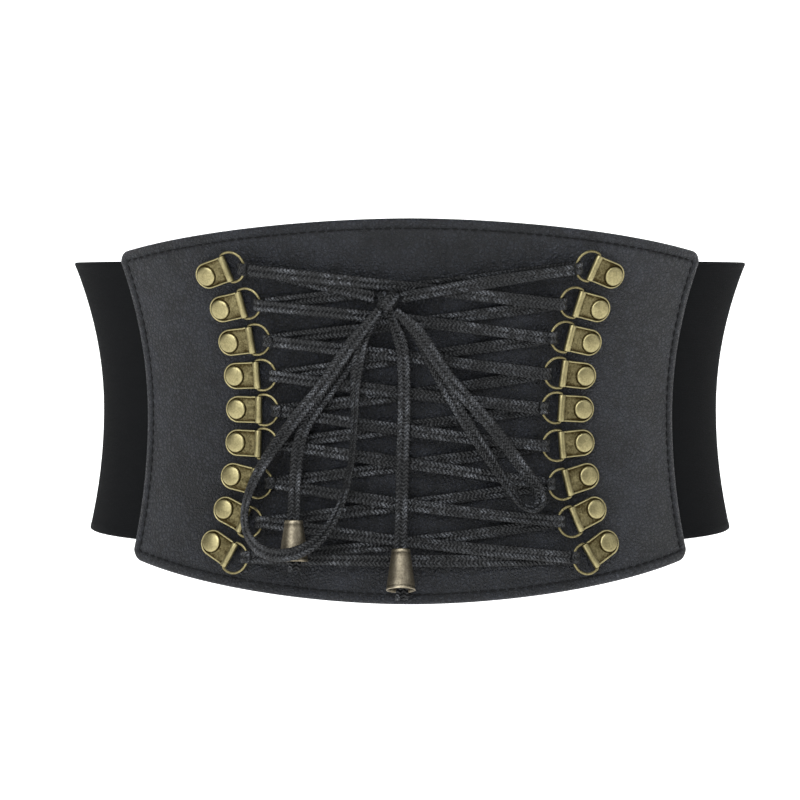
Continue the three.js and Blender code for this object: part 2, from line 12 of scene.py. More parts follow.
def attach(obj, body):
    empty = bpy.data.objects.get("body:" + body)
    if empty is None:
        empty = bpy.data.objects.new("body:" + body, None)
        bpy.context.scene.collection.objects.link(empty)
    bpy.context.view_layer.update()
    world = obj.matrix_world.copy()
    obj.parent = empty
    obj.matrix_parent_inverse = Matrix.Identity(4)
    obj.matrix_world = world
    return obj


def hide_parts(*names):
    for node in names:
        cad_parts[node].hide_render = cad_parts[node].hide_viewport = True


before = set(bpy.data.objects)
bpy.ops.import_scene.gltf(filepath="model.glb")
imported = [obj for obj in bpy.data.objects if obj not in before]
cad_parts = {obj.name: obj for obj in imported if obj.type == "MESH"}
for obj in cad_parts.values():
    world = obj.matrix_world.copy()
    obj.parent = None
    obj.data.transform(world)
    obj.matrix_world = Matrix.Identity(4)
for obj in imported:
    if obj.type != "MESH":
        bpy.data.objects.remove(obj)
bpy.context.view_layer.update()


# The elastic bands
# Two bands of wide black ribbed elastic run from behind the front round to the middle of the back. They are
# woven as one flat strip each, with a firmer edge along the top and the bottom, and they set the belt's
# hourglass: the loop is narrowest at the waist line and widens towards both edges.
WAIST_HALF = (136.5, 98.5)
TOP_HALF = (149.5, 106.0)
BOTTOM_HALF = (143.0, 102.5)
WAIST_LINE = -3.6
GAP = 0.3
ELASTIC_HEIGHT = 120.0
ELASTIC_RISE = 1.5
ELASTIC_WALL = 1.5
ELASTIC_TUCK = 14.0
ELASTIC_END_SPACE = 2.0
PANEL_LENGTH = 249.0
PANEL_WALL = 2.0
RIB_PITCH = 1.15
RIB_RELIEF = 0.13
SELVEDGE = 2.6
SELVEDGE_RELIEF = 0.14
ELASTIC_BLACK = (0.0030, 0.0033, 0.0036, 1.0)
ELASTIC_CREST_HIGHLIGHT = (0.0075, 0.0080, 0.0090, 1.0)

ELASTIC_TOP = ELASTIC_RISE + ELASTIC_HEIGHT / 2
ELASTIC_BOTTOM = ELASTIC_RISE - ELASTIC_HEIGHT / 2
PANEL_INSIDE = ELASTIC_WALL + GAP
PANEL_FACE = PANEL_INSIDE + PANEL_WALL
METRES = 0.001


def loop_point(angle, z):
    """The point of the loop's inner face at an angle from the front and a height."""
    angle, z = np.broadcast_arrays(np.asarray(angle, float), np.asarray(z, float))
    above = z > WAIST_LINE
    reach = np.where(above, ELASTIC_TOP - WAIST_LINE, WAIST_LINE - ELASTIC_BOTTOM)
    widening = ((z - WAIST_LINE) / reach) ** 2
    half = []
    for axis in range(2):
        end = np.where(above, TOP_HALF[axis], BOTTOM_HALF[axis])
        half.append(WAIST_HALF[axis] + (end - WAIST_HALF[axis]) * widening)
    return np.stack([half[0] * np.sin(angle), -half[1] * np.cos(angle), z], axis=-1)


def unit(v):
    return v / np.linalg.norm(v, axis=-1, keepdims=True)


def loop_frame(angle, z):
    """The level direction along the loop's surface, the direction up it, and the one straight out of it."""
    step = 1e-3
    level = unit(loop_point(angle + step, z) - loop_point(angle - step, z))
    rise = unit(loop_point(angle, z + step) - loop_point(angle, z - step))
    out = unit(np.cross(level, rise))
    return level, np.cross(out, level), out


def on_loop(angle, z, lift):
    lift = np.asarray(lift, float)
    return loop_point(angle, z) + loop_frame(angle, z)[2] * lift[..., None]


ARC_ANGLES = np.linspace(0, math.pi, 721)
ARC_POINTS = on_loop(ARC_ANGLES, np.full(721, WAIST_LINE), np.full(721, PANEL_FACE))
ARC_LENGTHS = np.concatenate([[0], np.cumsum(np.linalg.norm(np.diff(ARC_POINTS, axis=0), axis=1))])


def angle_at(distance):
    """The angle that lies a distance from the middle, measured along the front's face."""
    distance = np.asarray(distance, float)
    return np.sign(distance) * np.interp(np.abs(distance), ARC_LENGTHS, ARC_ANGLES)


def smooth_mesh(name, points, faces, uvs=None, masks=None):
    """An object from points in millimetres. uvs are millimetres too, and masks are values for each point."""
    mesh = bpy.data.meshes.new(name)
    mesh.from_pydata((np.asarray(points) * METRES).tolist(), [], faces)
    mesh.polygons.foreach_set("use_smooth", [True] * len(mesh.polygons))
    if uvs is not None:
        layer = mesh.uv_layers.new(name="run")
        corners = np.empty(len(mesh.loops), int)
        mesh.loops.foreach_get("vertex_index", corners)
        layer.data.foreach_set("uv", (np.asarray(uvs)[corners] * METRES).ravel())
    for key, values in (masks or {}).items():
        mask = mesh.attributes.new(key, "FLOAT", "POINT")
        mask.data.foreach_set("value", np.asarray(values, float).ravel())
    mesh.update()
    piece = bpy.data.objects.new(name, mesh)
    bpy.context.scene.collection.objects.link(piece)
    return piece


def ring_faces(rings, count, close_run=False, close_ends=True):
    """Faces of a skin over rings of points, which turn so that the skin faces outwards."""
    faces = []
    for i in range(rings if close_run else rings - 1):
        a, b = i * count, (i + 1) % rings * count
        for j in range(count):
            k = (j + 1) % count
            faces.append((a + j, b + j, b + k, a + k))
    if close_ends and not close_run:
        faces.append(tuple(range(count)))
        faces.append(tuple(reversed(range((rings - 1) * count, rings * count))))
    return faces


def sheet_faces(rings, count):
    """Faces of a sheet's closed skin: round each ring of its section, and over its two ends."""
    faces = ring_faces(rings, count, close_ends=False)
    for base, turned in ((0, False), ((rings - 1) * count, True)):
        for j in range(count // 2 - 1):
            quad = (base + j, base + j + 1, base + count - 2 - j, base + count - 1 - j)
            faces.append(quad[::-1] if turned else quad)
    return faces


def sheet_rings(angles, rows_out, rows_in, lift_out, lift_in):
    """Rings of points round a sheet's section at each angle: up its outer face and down its inner face."""
    a_out, z_out = np.broadcast_arrays(angles[:, None], rows_out)
    a_in, z_in = np.broadcast_arrays(angles[:, None], rows_in)
    outer = on_loop(a_out, z_out, lift_out)
    inner = on_loop(a_in, z_in, lift_in)
    return np.concatenate([outer, inner[:, ::-1]], axis=1)


def dressed(piece, slot, material, *nodes):
    """Gives a piece its material and its place in the model."""
    if material is not None:
        piece.data.materials.clear()
        piece.data.materials.append(material)
    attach(piece, "root")
    if nodes:
        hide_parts(*nodes)
    return piece


def new_material(name):
    material = bpy.data.materials.new(name)
    material.use_nodes = True
    tree = material.node_tree
    return material, tree, tree.nodes["Principled BSDF"]


def node(tree, kind, inputs=None, **settings):
    """A node of a tree. An input's value is a number, a colour or another node's output."""
    made = tree.nodes.new(kind)
    for key, value in settings.items():
        setattr(made, key, value)
    for key, value in (inputs or {}).items():
        if isinstance(value, bpy.types.NodeSocket):
            tree.links.new(value, made.inputs[key])
        else:
            made.inputs[key].default_value = value
    return made


def maths(tree, operation, a, b=0.0, clamp=False):
    return node(tree, "ShaderNodeMath", {0: a, 1: b}, operation=operation, use_clamp=clamp).outputs[0]


def colour_mix(tree, share, a, b):
    mixed = node(tree, "ShaderNodeMix", data_type="RGBA")
    for key, value in ((0, share), (6, a), (7, b)):
        if isinstance(value, bpy.types.NodeSocket):
            tree.links.new(value, mixed.inputs[key])
        else:
            mixed.inputs[key].default_value = value
    return mixed.outputs[2]


def spread(tree, value, from_low, from_high, to_low, to_high):
    inputs = {"Value": value, "From Min": from_low, "From Max": from_high,
              "To Min": to_low, "To Max": to_high}
    return node(tree, "ShaderNodeMapRange", inputs).outputs[0]


def ribbed_elastic():
    """Matt black elastic: the weft crosses the ribs in short floats, and the raised ribs get a paler colour,
    broken up by fibre fuzz, as a painted highlight.
    """
    material, tree, surface = new_material("ribbed_elastic")
    uv = node(tree, "ShaderNodeUVMap", uv_map="run").outputs[0]
    floats = node(tree, "ShaderNodeTexWave", {"Vector": uv, "Scale": 420.0, "Distortion": 1.2, "Detail": 1.0,
                                              "Detail Scale": 900.0}, bands_direction="Y", wave_profile="SIN")
    fuzz = node(tree, "ShaderNodeTexNoise", {"Vector": uv, "Scale": 900.0, "Detail": 3.0, "Roughness": 0.7})
    cloud = node(tree, "ShaderNodeTexNoise", {"Vector": uv, "Scale": 22.0, "Detail": 3.0})
    rib = node(tree, "ShaderNodeAttribute", attribute_name="rib").outputs["Fac"]
    # Painted highlight: only the raised ribs are mixed towards the paler crest colour.
    lit = maths(tree, "MULTIPLY", rib, spread(tree, fuzz.outputs[0], 0.35, 0.75, 0.15, 0.75))
    lit = maths(tree, "MULTIPLY", lit, spread(tree, cloud.outputs[0], 0.3, 0.7, 0.6, 1.0))
    tree.links.new(colour_mix(tree, lit, ELASTIC_BLACK, ELASTIC_CREST_HIGHLIGHT), surface.inputs["Base Color"])
    height = maths(tree, "ADD", maths(tree, "MULTIPLY", floats.outputs[1], 0.6),
                   maths(tree, "MULTIPLY", fuzz.outputs[0], 0.5))
    bump = node(tree, "ShaderNodeBump", {"Height": height, "Strength": 0.6, "Distance": 0.00012})
    tree.links.new(bump.outputs[0], surface.inputs["Normal"])
    tree.links.new(spread(tree, fuzz.outputs[0], 0.3, 0.7, 0.78, 0.95), surface.inputs["Roughness"])
    surface.inputs["Specular IOR Level"].default_value = 0.08
    return material


def elastic_band(name, side, material):
    start = float(angle_at(PANEL_LENGTH / 2 - ELASTIC_TUCK))
    end = math.pi - ELASTIC_END_SPACE / 2 / WAIST_HALF[0]
    length = float(np.interp(end, ARC_ANGLES, ARC_LENGTHS) - np.interp(start, ARC_ANGLES, ARC_LENGTHS))
    columns = int(length / RIB_PITCH) * 2
    angles = np.linspace(start, end, columns + 1)
    ribs = np.arange(columns + 1) % 2
    edge = np.array([0.0, 0.25, 0.75, SELVEDGE * 0.8, SELVEDGE, SELVEDGE + 0.4])
    middle = np.linspace(SELVEDGE + 4, ELASTIC_HEIGHT / 2, 9)
    depth = np.concatenate([edge, middle])
    rows = np.concatenate([ELASTIC_BOTTOM + depth, (ELASTIC_TOP - depth)[::-1][1:]])
    inset = np.minimum(rows - ELASTIC_BOTTOM, ELASTIC_TOP - rows)
    rounding = (1 - np.sqrt(np.clip(1 - np.clip(1 - inset / 0.75, 0, 1) ** 2, 0, 1))) * ELASTIC_WALL / 2
    hem = np.where(inset < SELVEDGE + 0.1, SELVEDGE_RELIEF, 0.0)
    ribbed = np.where(inset > SELVEDGE + 0.1, 1.0, 0.35)
    outer = ELASTIC_WALL - rounding + hem + ribs[:, None] * RIB_RELIEF * ribbed - RIB_RELIEF
    inner = rounding + np.zeros((columns + 1, 1))
    rings = sheet_rings(side * angles, rows, rows, outer, inner)
    if side < 0:
        rings = rings[::-1]
        ribs = ribs[::-1]
    count = rings.shape[1]
    run = np.linspace(0, length, columns + 1)[:, None] + np.zeros((1, count))
    rise = np.concatenate([rows, rows[::-1]])[None, :] + np.zeros((columns + 1, 1))
    rib = ribs[:, None] * np.ones((1, count))
    uv = np.stack([run, rise], -1).reshape(-1, 2)
    piece = smooth_mesh(name, rings.reshape(-1, 3), sheet_faces(columns + 1, count), uv, {"rib": rib})
    dressed(piece, "elastic", material, name.replace("_band", ""))
    return piece


elastic_material = ribbed_elastic()
elastic_band("elastic_band_left", -1, elastic_material)
elastic_band("elastic_band_right", 1, elastic_material)


# The front panel
# One wide piece of black imitation leather on a soft backing, highest at the middle, with its edge folded
# over and sewn down. Its face has a fine pebble grain, a few creases, and a slight dip along the sewing.
PANEL_HEIGHT = 162.6
PANEL_END_HEIGHT = 133.0
PANEL_EDGE_POWER = 1.8
PANEL_CORNER = 5.5
STITCH_INSET = 4.0
STITCH_DIP = 0.42
HEM_SWELL = 0.24
GRAIN_SIZE = 1.7
LEATHER_DARK = (0.0030, 0.0036, 0.0050, 1.0)
LEATHER_LIGHT = (0.0270, 0.0300, 0.0400, 1.0)


def panel_half_height(distance):
    half = PANEL_LENGTH / 2
    fall = (PANEL_HEIGHT - PANEL_END_HEIGHT) / 2 * (np.abs(distance) / half) ** PANEL_EDGE_POWER
    return PANEL_HEIGHT / 2 - fall


def panel_outline(inset, step=1.0):
    """Places along the panel's edge, moved in by an inset: distance along the front, and height."""
    half = PANEL_LENGTH / 2 - inset
    corner = max(PANEL_CORNER - inset, 0.6)
    across = np.arange(-(half - corner), half - corner, step)
    top = np.stack([across, panel_half_height(across) - inset], -1)
    turns = np.radians(np.linspace(90, 0, 9))
    right = np.stack([half - corner + corner * np.cos(turns),
                      panel_half_height(half - corner) - inset - corner + corner * np.sin(turns)], -1)
    down = np.arange(right[-1, 1] - step, -right[-1, 1], -step)
    side = np.stack([np.full(len(down), half), down], -1)
    upper = np.concatenate([top, right, side])
    return np.concatenate([upper, -upper])


def grade(half, fine):
    """Places from the middle to an edge: even steps, then the fine insets near the edge."""
    insets = np.array(fine)[::-1]
    even = np.linspace(0, half - insets[0], max(2, int((half - insets[0]) / 1.25)), endpoint=False)
    return np.concatenate([even, half - insets])


def scaled(tree, vector, scale):
    return node(tree, "ShaderNodeVectorMath", {0: vector, "Scale": scale}, operation="SCALE").outputs[0]


def shader_group(name, inputs, outputs):
    """An empty shader node group with named inputs, given as (name, kind, default), and named outputs."""
    tree = bpy.data.node_groups.new(name, "ShaderNodeTree")
    for label, kind, value in inputs:
        socket = tree.interface.new_socket(label, in_out="INPUT", socket_type=kind)
        if value is not None:
            socket.default_value = value
    for label, kind in outputs:
        tree.interface.new_socket(label, in_out="OUTPUT", socket_type=kind)
    return tree, tree.nodes.new("NodeGroupInput"), tree.nodes.new("NodeGroupOutput")


def pebble_grain():
    """Pebbled grain of imitation leather: small raised cells between fine creases, with longer soft folds."""
    tree, given, result = shader_group("pebble_grain", [
        ("Vector", "NodeSocketVector", None), ("Cell Size", "NodeSocketFloat", 0.001),
        ("Warp", "NodeSocketFloat", 0.8)],
        [("Height", "NodeSocketFloat"), ("Crease", "NodeSocketFloat"), ("Mottle", "NodeSocketFloat")])
    scale = maths(tree, "DIVIDE", 1.0, given.outputs["Cell Size"])
    at = scaled(tree, given.outputs["Vector"], scale)
    wander = node(tree, "ShaderNodeTexNoise", {"Vector": at, "Scale": 0.7, "Detail": 2.0})
    shift = scaled(tree, wander.outputs[1], given.outputs["Warp"])
    warped = node(tree, "ShaderNodeVectorMath", {0: at, 1: shift}, operation="ADD").outputs[0]
    cells = node(tree, "ShaderNodeTexVoronoi", {"Vector": warped, "Scale": 1.0}, feature="DISTANCE_TO_EDGE")
    small = node(tree, "ShaderNodeTexVoronoi", {"Vector": warped, "Scale": 2.7}, feature="DISTANCE_TO_EDGE")
    folds = node(tree, "ShaderNodeTexNoise", {"Vector": at, "Scale": 0.16, "Detail": 3.0, "Roughness": 0.6})
    pores = node(tree, "ShaderNodeTexNoise", {"Vector": at, "Scale": 5.0, "Detail": 2.0})
    crease = spread(tree, cells.outputs[0], 0.0, 0.24, 1.0, 0.0)
    raised = spread(tree, cells.outputs[0], 0.0, 0.42, 0.0, 1.0)
    fine = spread(tree, small.outputs[0], 0.0, 0.4, 0.0, 0.5)
    height = maths(tree, "ADD", maths(tree, "ADD", raised, fine),
                   maths(tree, "MULTIPLY", pores.outputs[0], 0.25))
    height = maths(tree, "ADD", height, maths(tree, "MULTIPLY", folds.outputs[0], 3.6))
    tree.links.new(height, result.inputs["Height"])
    tree.links.new(crease, result.inputs["Crease"])
    tree.links.new(folds.outputs[0], result.inputs["Mottle"])
    return tree


grain_group = pebble_grain()


def leather(name, cell):
    material, tree, surface = new_material(name)
    place = node(tree, "ShaderNodeTexCoord").outputs["Object"]
    grain = node(tree, "ShaderNodeGroup", node_tree=grain_group)
    tree.links.new(place, grain.inputs["Vector"])
    grain.inputs["Cell Size"].default_value = cell * METRES
    large = node(tree, "ShaderNodeTexNoise",
                 {"Vector": place, "Scale": 38.0, "Detail": 4.0, "Roughness": 0.6})
    wear_and_edge_highlight = node(tree, "ShaderNodeAttribute", attribute_name="edge").outputs["Fac"]
    tone = spread(tree, large.outputs[0], 0.3, 0.72, 0.32, 0.86)
    # Painted highlight: the tone is raised along the panel's folded edge, where the rounded edge catches the
    # light.
    tone = maths(tree, "ADD", tone, maths(tree, "MULTIPLY", wear_and_edge_highlight, 0.14))
    tone = maths(tree, "ADD", tone, spread(tree, grain.outputs["Mottle"], 0.35, 0.65, -0.2, 0.2))
    stitch_shade = node(tree, "ShaderNodeAttribute", attribute_name="stitch_shade").outputs["Fac"]
    # Painted shade: the grain's creases are darkened in the colour, as the shade that falls in them.
    tone = maths(tree, "SUBTRACT", tone, maths(tree, "MULTIPLY", grain.outputs["Crease"], 0.6), clamp=True)
    # Painted shade: along the stitch line the leather's colour is darkened almost to black, most at each
    # stitch, for the shade in the stitch dip.
    tone = maths(tree, "MULTIPLY", tone, spread(tree, stitch_shade, 0.0, 1.0, 1.0, 0.05))
    tree.links.new(colour_mix(tree, tone, LEATHER_DARK, LEATHER_LIGHT), surface.inputs["Base Color"])
    gloss = maths(tree, "ADD", spread(tree, large.outputs[0], 0.3, 0.7, 0.38, 0.48),
                  maths(tree, "MULTIPLY", grain.outputs["Crease"], 0.18))
    gloss = maths(tree, "ADD", gloss, maths(tree, "MULTIPLY", stitch_shade, 0.4), clamp=True)
    tree.links.new(gloss, surface.inputs["Roughness"])
    bump = node(tree, "ShaderNodeBump",
                {"Height": grain.outputs["Height"], "Strength": 1.0, "Distance": 0.0016})
    tree.links.new(bump.outputs[0], surface.inputs["Normal"])
    surface.inputs["Specular IOR Level"].default_value = 0.5
    return material


def crease_field(s, z):
    """The panel's few shallow creases: each row gives a middle, a half length, a direction and a depth."""
    rows = [(-96, 47, 15, 24, 0.20), (-104, 40, 11, 38, 0.16), (-99, 30, 9, 14, 0.12),
            (96, 12, 13, -62, 0.14), (101, -30, 12, -50, 0.12), (-101, -24, 14, 66, 0.12),
            (-30, 68, 16, 5, 0.1), (88, 44, 12, 24, 0.12)]
    total = np.zeros_like(s)
    for x, y, long, turn, depth in rows:
        a = math.radians(turn)
        u = (s - x) * math.cos(a) + (z - y) * math.sin(a)
        v = -(s - x) * math.sin(a) + (z - y) * math.cos(a) + 0.012 * u * u
        across = np.exp(-(v / 1.3) ** 2) - 0.5 * np.exp(-(v / 3.2) ** 2)
        total -= depth * np.exp(-(u / long) ** 2) * across
    return total


def front_panel(material):
    fine = [0.0, 0.1, 0.3, 0.6, 1.0, 1.6, 2.4, 3.1, 3.5, 3.8, 4.0, 4.2, 4.5, 5.0, 6.0, 7.4]
    across = grade(PANEL_LENGTH / 2, fine)
    across = np.concatenate([-across[::-1], across[1:]])
    tall = grade(1.0 * PANEL_HEIGHT / 2, fine) / (PANEL_HEIGHT / 2)
    tall = np.concatenate([-tall[::-1], tall[1:]])
    into = np.maximum(0, np.abs(across) - (PANEL_LENGTH / 2 - PANEL_CORNER))
    rounding = PANEL_CORNER - np.sqrt(np.maximum(0, PANEL_CORNER ** 2 - into ** 2))
    half = panel_half_height(across) - rounding
    s = np.repeat(across[:, None], len(tall), 1)
    z = tall[None, :] * half[:, None]
    long_edge = half[:, None] * (1 - np.abs(tall[None, :]))
    end_edge = PANEL_LENGTH / 2 - np.abs(s)
    inset = np.minimum(long_edge, end_edge)
    near = np.clip(1 - inset / (PANEL_WALL / 2), 0, 1)
    round_off = (1 - np.sqrt(np.clip(1 - near ** 2, 0, 1))) * PANEL_WALL / 2
    dip = STITCH_DIP * np.exp(-((inset - STITCH_INSET) / 0.6) ** 2)
    swell = HEM_SWELL * np.exp(-((inset - 2.0) / 1.1) ** 2)
    along = np.where(long_edge < end_edge, s, z)
    pucker = 0.13 * np.cos(2 * np.pi * along / STITCH_PITCH) * np.exp(-((inset - STITCH_INSET) / 1.6) ** 2)
    inside = np.clip((inset - 6) / 10, 0, 1)
    soft = 0.10 * np.sin(s * 0.11 + 0.6 * np.sin(z * 0.09)) * np.sin(z * 0.13 + 1.1) * inside
    outer = PANEL_FACE - round_off - dip + swell - pucker + (soft + crease_field(s, z)) * inside
    inner = PANEL_INSIDE + round_off
    angles = angle_at(across)
    a = np.repeat(angles[:, None], len(tall), 1)
    rings = np.concatenate([on_loop(a, z, outer), on_loop(a, z, inner)[:, ::-1]], axis=1)
    columns, count = rings.shape[:2]
    faces = sheet_faces(columns, count)
    uv = np.stack([np.concatenate([s, s[:, ::-1]], 1), np.concatenate([z, z[:, ::-1]], 1)], -1)
    # The edge mask carries a painted highlight along the folded edge.
    edge = np.clip(1 - np.concatenate([inset, inset[:, ::-1]], 1) / 1.4, 0, 1)
    # The stitch shade mask: painted shade along the stitch line, in dashes at each stitch.
    dashes = 0.62 + 0.38 * np.cos(2 * np.pi * along / STITCH_PITCH)
    stitch_shade = dashes * np.exp(-((inset - STITCH_INSET) / 0.9) ** 2)
    stitch_shade = np.concatenate([stitch_shade, np.zeros_like(stitch_shade)], 1)
    masks = {"edge": edge, "stitch_shade": stitch_shade}
    piece = smooth_mesh("front_panel", rings.reshape(-1, 3), faces, uv.reshape(-1, 2), masks)
    return dressed(piece, "leather", material, "panel")


STITCH_PITCH = 4.0
leather_material = leather("pebbled_leather", GRAIN_SIZE)
front_panel(leather_material)


# The sewing
# Black polyester thread, in one row of lockstitches 4 mm from the panel's edge. Each stitch lies in the dip
# that it pulls into the leather, and its ends go down through the holes.
THREAD = 0.4
STITCH_LENGTH = 3.3
THREAD_BLACK = (0.002, 0.002, 0.0022, 1.0)
THREAD_GREY = (0.009, 0.009, 0.010, 1)


def stitch_group():
    """Geometry Nodes: places one thread bead for each stitch along a curve."""
    tree = bpy.data.node_groups.new("row_of_stitches", "GeometryNodeTree")
    for label, kind, value in (("Geometry", "NodeSocketGeometry", None), ("Pitch", "NodeSocketFloat", 0.004),
                               ("Length", "NodeSocketFloat", 0.003), ("Thread", "NodeSocketFloat", 0.0004),
                               ("Seed", "NodeSocketInt", 7), ("Material", "NodeSocketMaterial", None)):
        socket = tree.interface.new_socket(label, in_out="INPUT", socket_type=kind)
        if value is not None:
            socket.default_value = value
    tree.interface.new_socket("Geometry", in_out="OUTPUT", socket_type="NodeSocketGeometry")
    given, result = tree.nodes.new("NodeGroupInput"), tree.nodes.new("NodeGroupOutput")
    spots = node(tree, "GeometryNodeCurveToPoints", {"Curve": given.outputs["Geometry"],
                                                     "Length": given.outputs["Pitch"]}, mode="LENGTH")
    bead = node(tree, "GeometryNodeMeshUVSphere", {"Segments": 8, "Rings": 7, "Radius": 0.5})
    size = node(tree, "ShaderNodeCombineXYZ", {0: given.outputs["Length"], 1: given.outputs["Thread"],
                                              2: given.outputs["Thread"]})
    shaped = node(tree, "GeometryNodeTransform", {"Geometry": bead.outputs[0], "Scale": size.outputs[0]})
    wander = node(tree, "FunctionNodeRandomValue", {"Min": (-0.05, -0.05, -0.05), "Max": (0.05, 0.05, 0.05),
                                                    "Seed": given.outputs["Seed"]}, data_type="FLOAT_VECTOR")
    lean = node(tree, "ShaderNodeVectorMath", {0: spots.outputs["Tangent"], 1: wander.outputs[0]},
                operation="ADD")
    facing = node(tree, "FunctionNodeAlignRotationToVector", {"Vector": lean.outputs[0]}, axis="X")
    placed = node(tree, "GeometryNodeInstanceOnPoints", {"Points": spots.outputs["Points"],
                                                         "Instance": shaped.outputs[0],
                                                         "Rotation": facing.outputs[0]})
    real = node(tree, "GeometryNodeRealizeInstances", {0: placed.outputs[0]})
    smooth = node(tree, "GeometryNodeSetShadeSmooth", {0: real.outputs[0]})
    painted = node(tree, "GeometryNodeSetMaterial", {"Geometry": smooth.outputs[0],
                                                     "Material": given.outputs["Material"]})
    tree.links.new(painted.outputs[0], result.inputs[0])
    return tree


def grow(name, source, group, values):
    """Runs a Geometry Nodes group on an object and returns a plain mesh object of its result."""
    modifier = source.modifiers.new("grow", "NODES")
    modifier.node_group = group
    for item in group.interface.items_tree:
        if item.item_type == "SOCKET" and item.in_out == "INPUT" and item.name in values:
            modifier[item.identifier] = values[item.name]
    bpy.context.view_layer.update()
    evaluated = source.evaluated_get(bpy.context.evaluated_depsgraph_get())
    mesh = bpy.data.meshes.new_from_object(evaluated)
    mesh.name = name
    piece = bpy.data.objects.new(name, mesh)
    bpy.context.scene.collection.objects.link(piece)
    bpy.data.objects.remove(source)
    return piece


def guide_curve(points, cyclic):
    """A curve through points in millimetres, for a Geometry Nodes group to follow."""
    data = bpy.data.curves.new("guide", "CURVE")
    data.dimensions = "3D"
    spline = data.splines.new("POLY")
    spline.points.add(len(points) - 1)
    flat = np.concatenate([np.asarray(points) * METRES, np.ones((len(points), 1))], axis=1)
    spline.points.foreach_set("co", flat.ravel())
    spline.use_cyclic_u = cyclic
    guide = bpy.data.objects.new("guide", data)
    bpy.context.scene.collection.objects.link(guide)
    return guide


def thread():
    material, tree, surface = new_material("sewing_thread")
    place = node(tree, "ShaderNodeTexCoord").outputs["Object"]
    twist = node(tree, "ShaderNodeTexWave", {"Vector": place, "Scale": 900.0, "Distortion": 2.0},
                 bands_direction="DIAGONAL")
    lit = maths(tree, "MULTIPLY", twist.outputs[1], 0.6)
    shade = colour_mix(tree, lit, THREAD_BLACK, THREAD_GREY)
    tree.links.new(shade, surface.inputs["Base Color"])
    bump = node(tree, "ShaderNodeBump", {"Height": twist.outputs[1], "Strength": 0.5, "Distance": 0.0001})
    tree.links.new(bump.outputs[0], surface.inputs["Normal"])
    surface.inputs["Roughness"].default_value = 0.75
    surface.inputs["Specular IOR Level"].default_value = 0.2
    return material


stitches = stitch_group()
thread_material = thread()


def sew(name, points, cyclic=True):
    values = {"Pitch": STITCH_PITCH * METRES, "Length": STITCH_LENGTH * METRES, "Thread": 2 * THREAD * METRES,
              "Seed": 7, "Material": thread_material}
    return dressed(grow(name, guide_curve(points, cyclic), stitches, values), "leather", None)


line = panel_outline(STITCH_INSET)
stitch_lift = np.full(len(line), PANEL_FACE - STITCH_DIP + 0.1)
sew("panel_stitches", on_loop(angle_at(line[:, 0]), line[:, 1], stitch_lift))


# The back closure
# A plain strip of the same imitation leather covers the join of the two elastics at the middle of the back.
# The photograph hides it, so it is a simple folded strip, sewn down along both sides.
CLOSURE_WIDTH = 32.0
CLOSURE_WALL = 1.8
CLOSURE_INSIDE = ELASTIC_WALL + GAP


def closure_strip(material):
    half = CLOSURE_WIDTH / 2
    insets = np.array([0.0, 0.1, 0.3, 0.6, 0.9, 1.6, 2.4, 2.8, 3.2, 4.0])
    across = np.concatenate([insets - half, np.linspace(-half + 5, half - 5, 14), (half - insets)[::-1]])
    edge = np.array([0.0, 0.1, 0.3, 0.6, 0.9, 1.6])
    rows = np.concatenate([ELASTIC_BOTTOM + edge, np.linspace(ELASTIC_BOTTOM + 3, ELASTIC_TOP - 3, 60),
                           (ELASTIC_TOP - edge)[::-1]])
    s, z = np.meshgrid(across, rows, indexing="ij")
    inset = np.minimum(half - np.abs(s), np.minimum(z - ELASTIC_BOTTOM, ELASTIC_TOP - z))
    near = np.clip(1 - inset / (CLOSURE_WALL / 2), 0, 0.98)
    round_off = (1 - np.sqrt(np.clip(1 - near ** 2, 0, 1))) * CLOSURE_WALL / 2
    sewn = half - np.abs(s)
    dip = 0.22 * np.exp(-((sewn - 2.8) / 0.45) ** 2)
    angles = math.pi + s / WAIST_HALF[0]
    outer = on_loop(angles, z, CLOSURE_INSIDE + CLOSURE_WALL - round_off - dip)
    inner = on_loop(angles, z, CLOSURE_INSIDE + round_off)
    rings = np.concatenate([outer, inner[:, ::-1]], axis=1)
    columns, count = rings.shape[:2]
    faces = sheet_faces(columns, count)
    # The edge mask carries the leather's painted highlight along the strip's edges.
    edge_mask = np.clip(1 - np.concatenate([inset, inset[:, ::-1]], 1) / 1.4, 0, 1)
    piece = smooth_mesh("closure_strip", rings.reshape(-1, 3), faces, None, {"edge": edge_mask})
    dressed(piece, "leather", material, "back_closure")
    for name, side in (("closure_stitches_left", -1), ("closure_stitches_right", 1)):
        heights = np.linspace(ELASTIC_BOTTOM + 3, ELASTIC_TOP - 3, 80)
        turn = np.full(80, math.pi + side * (half - 2.8) / WAIST_HALF[0])
        sew(name, on_loop(turn, heights, np.full(80, CLOSURE_INSIDE + CLOSURE_WALL - 0.12)), False)


closure_strip(leather_material)


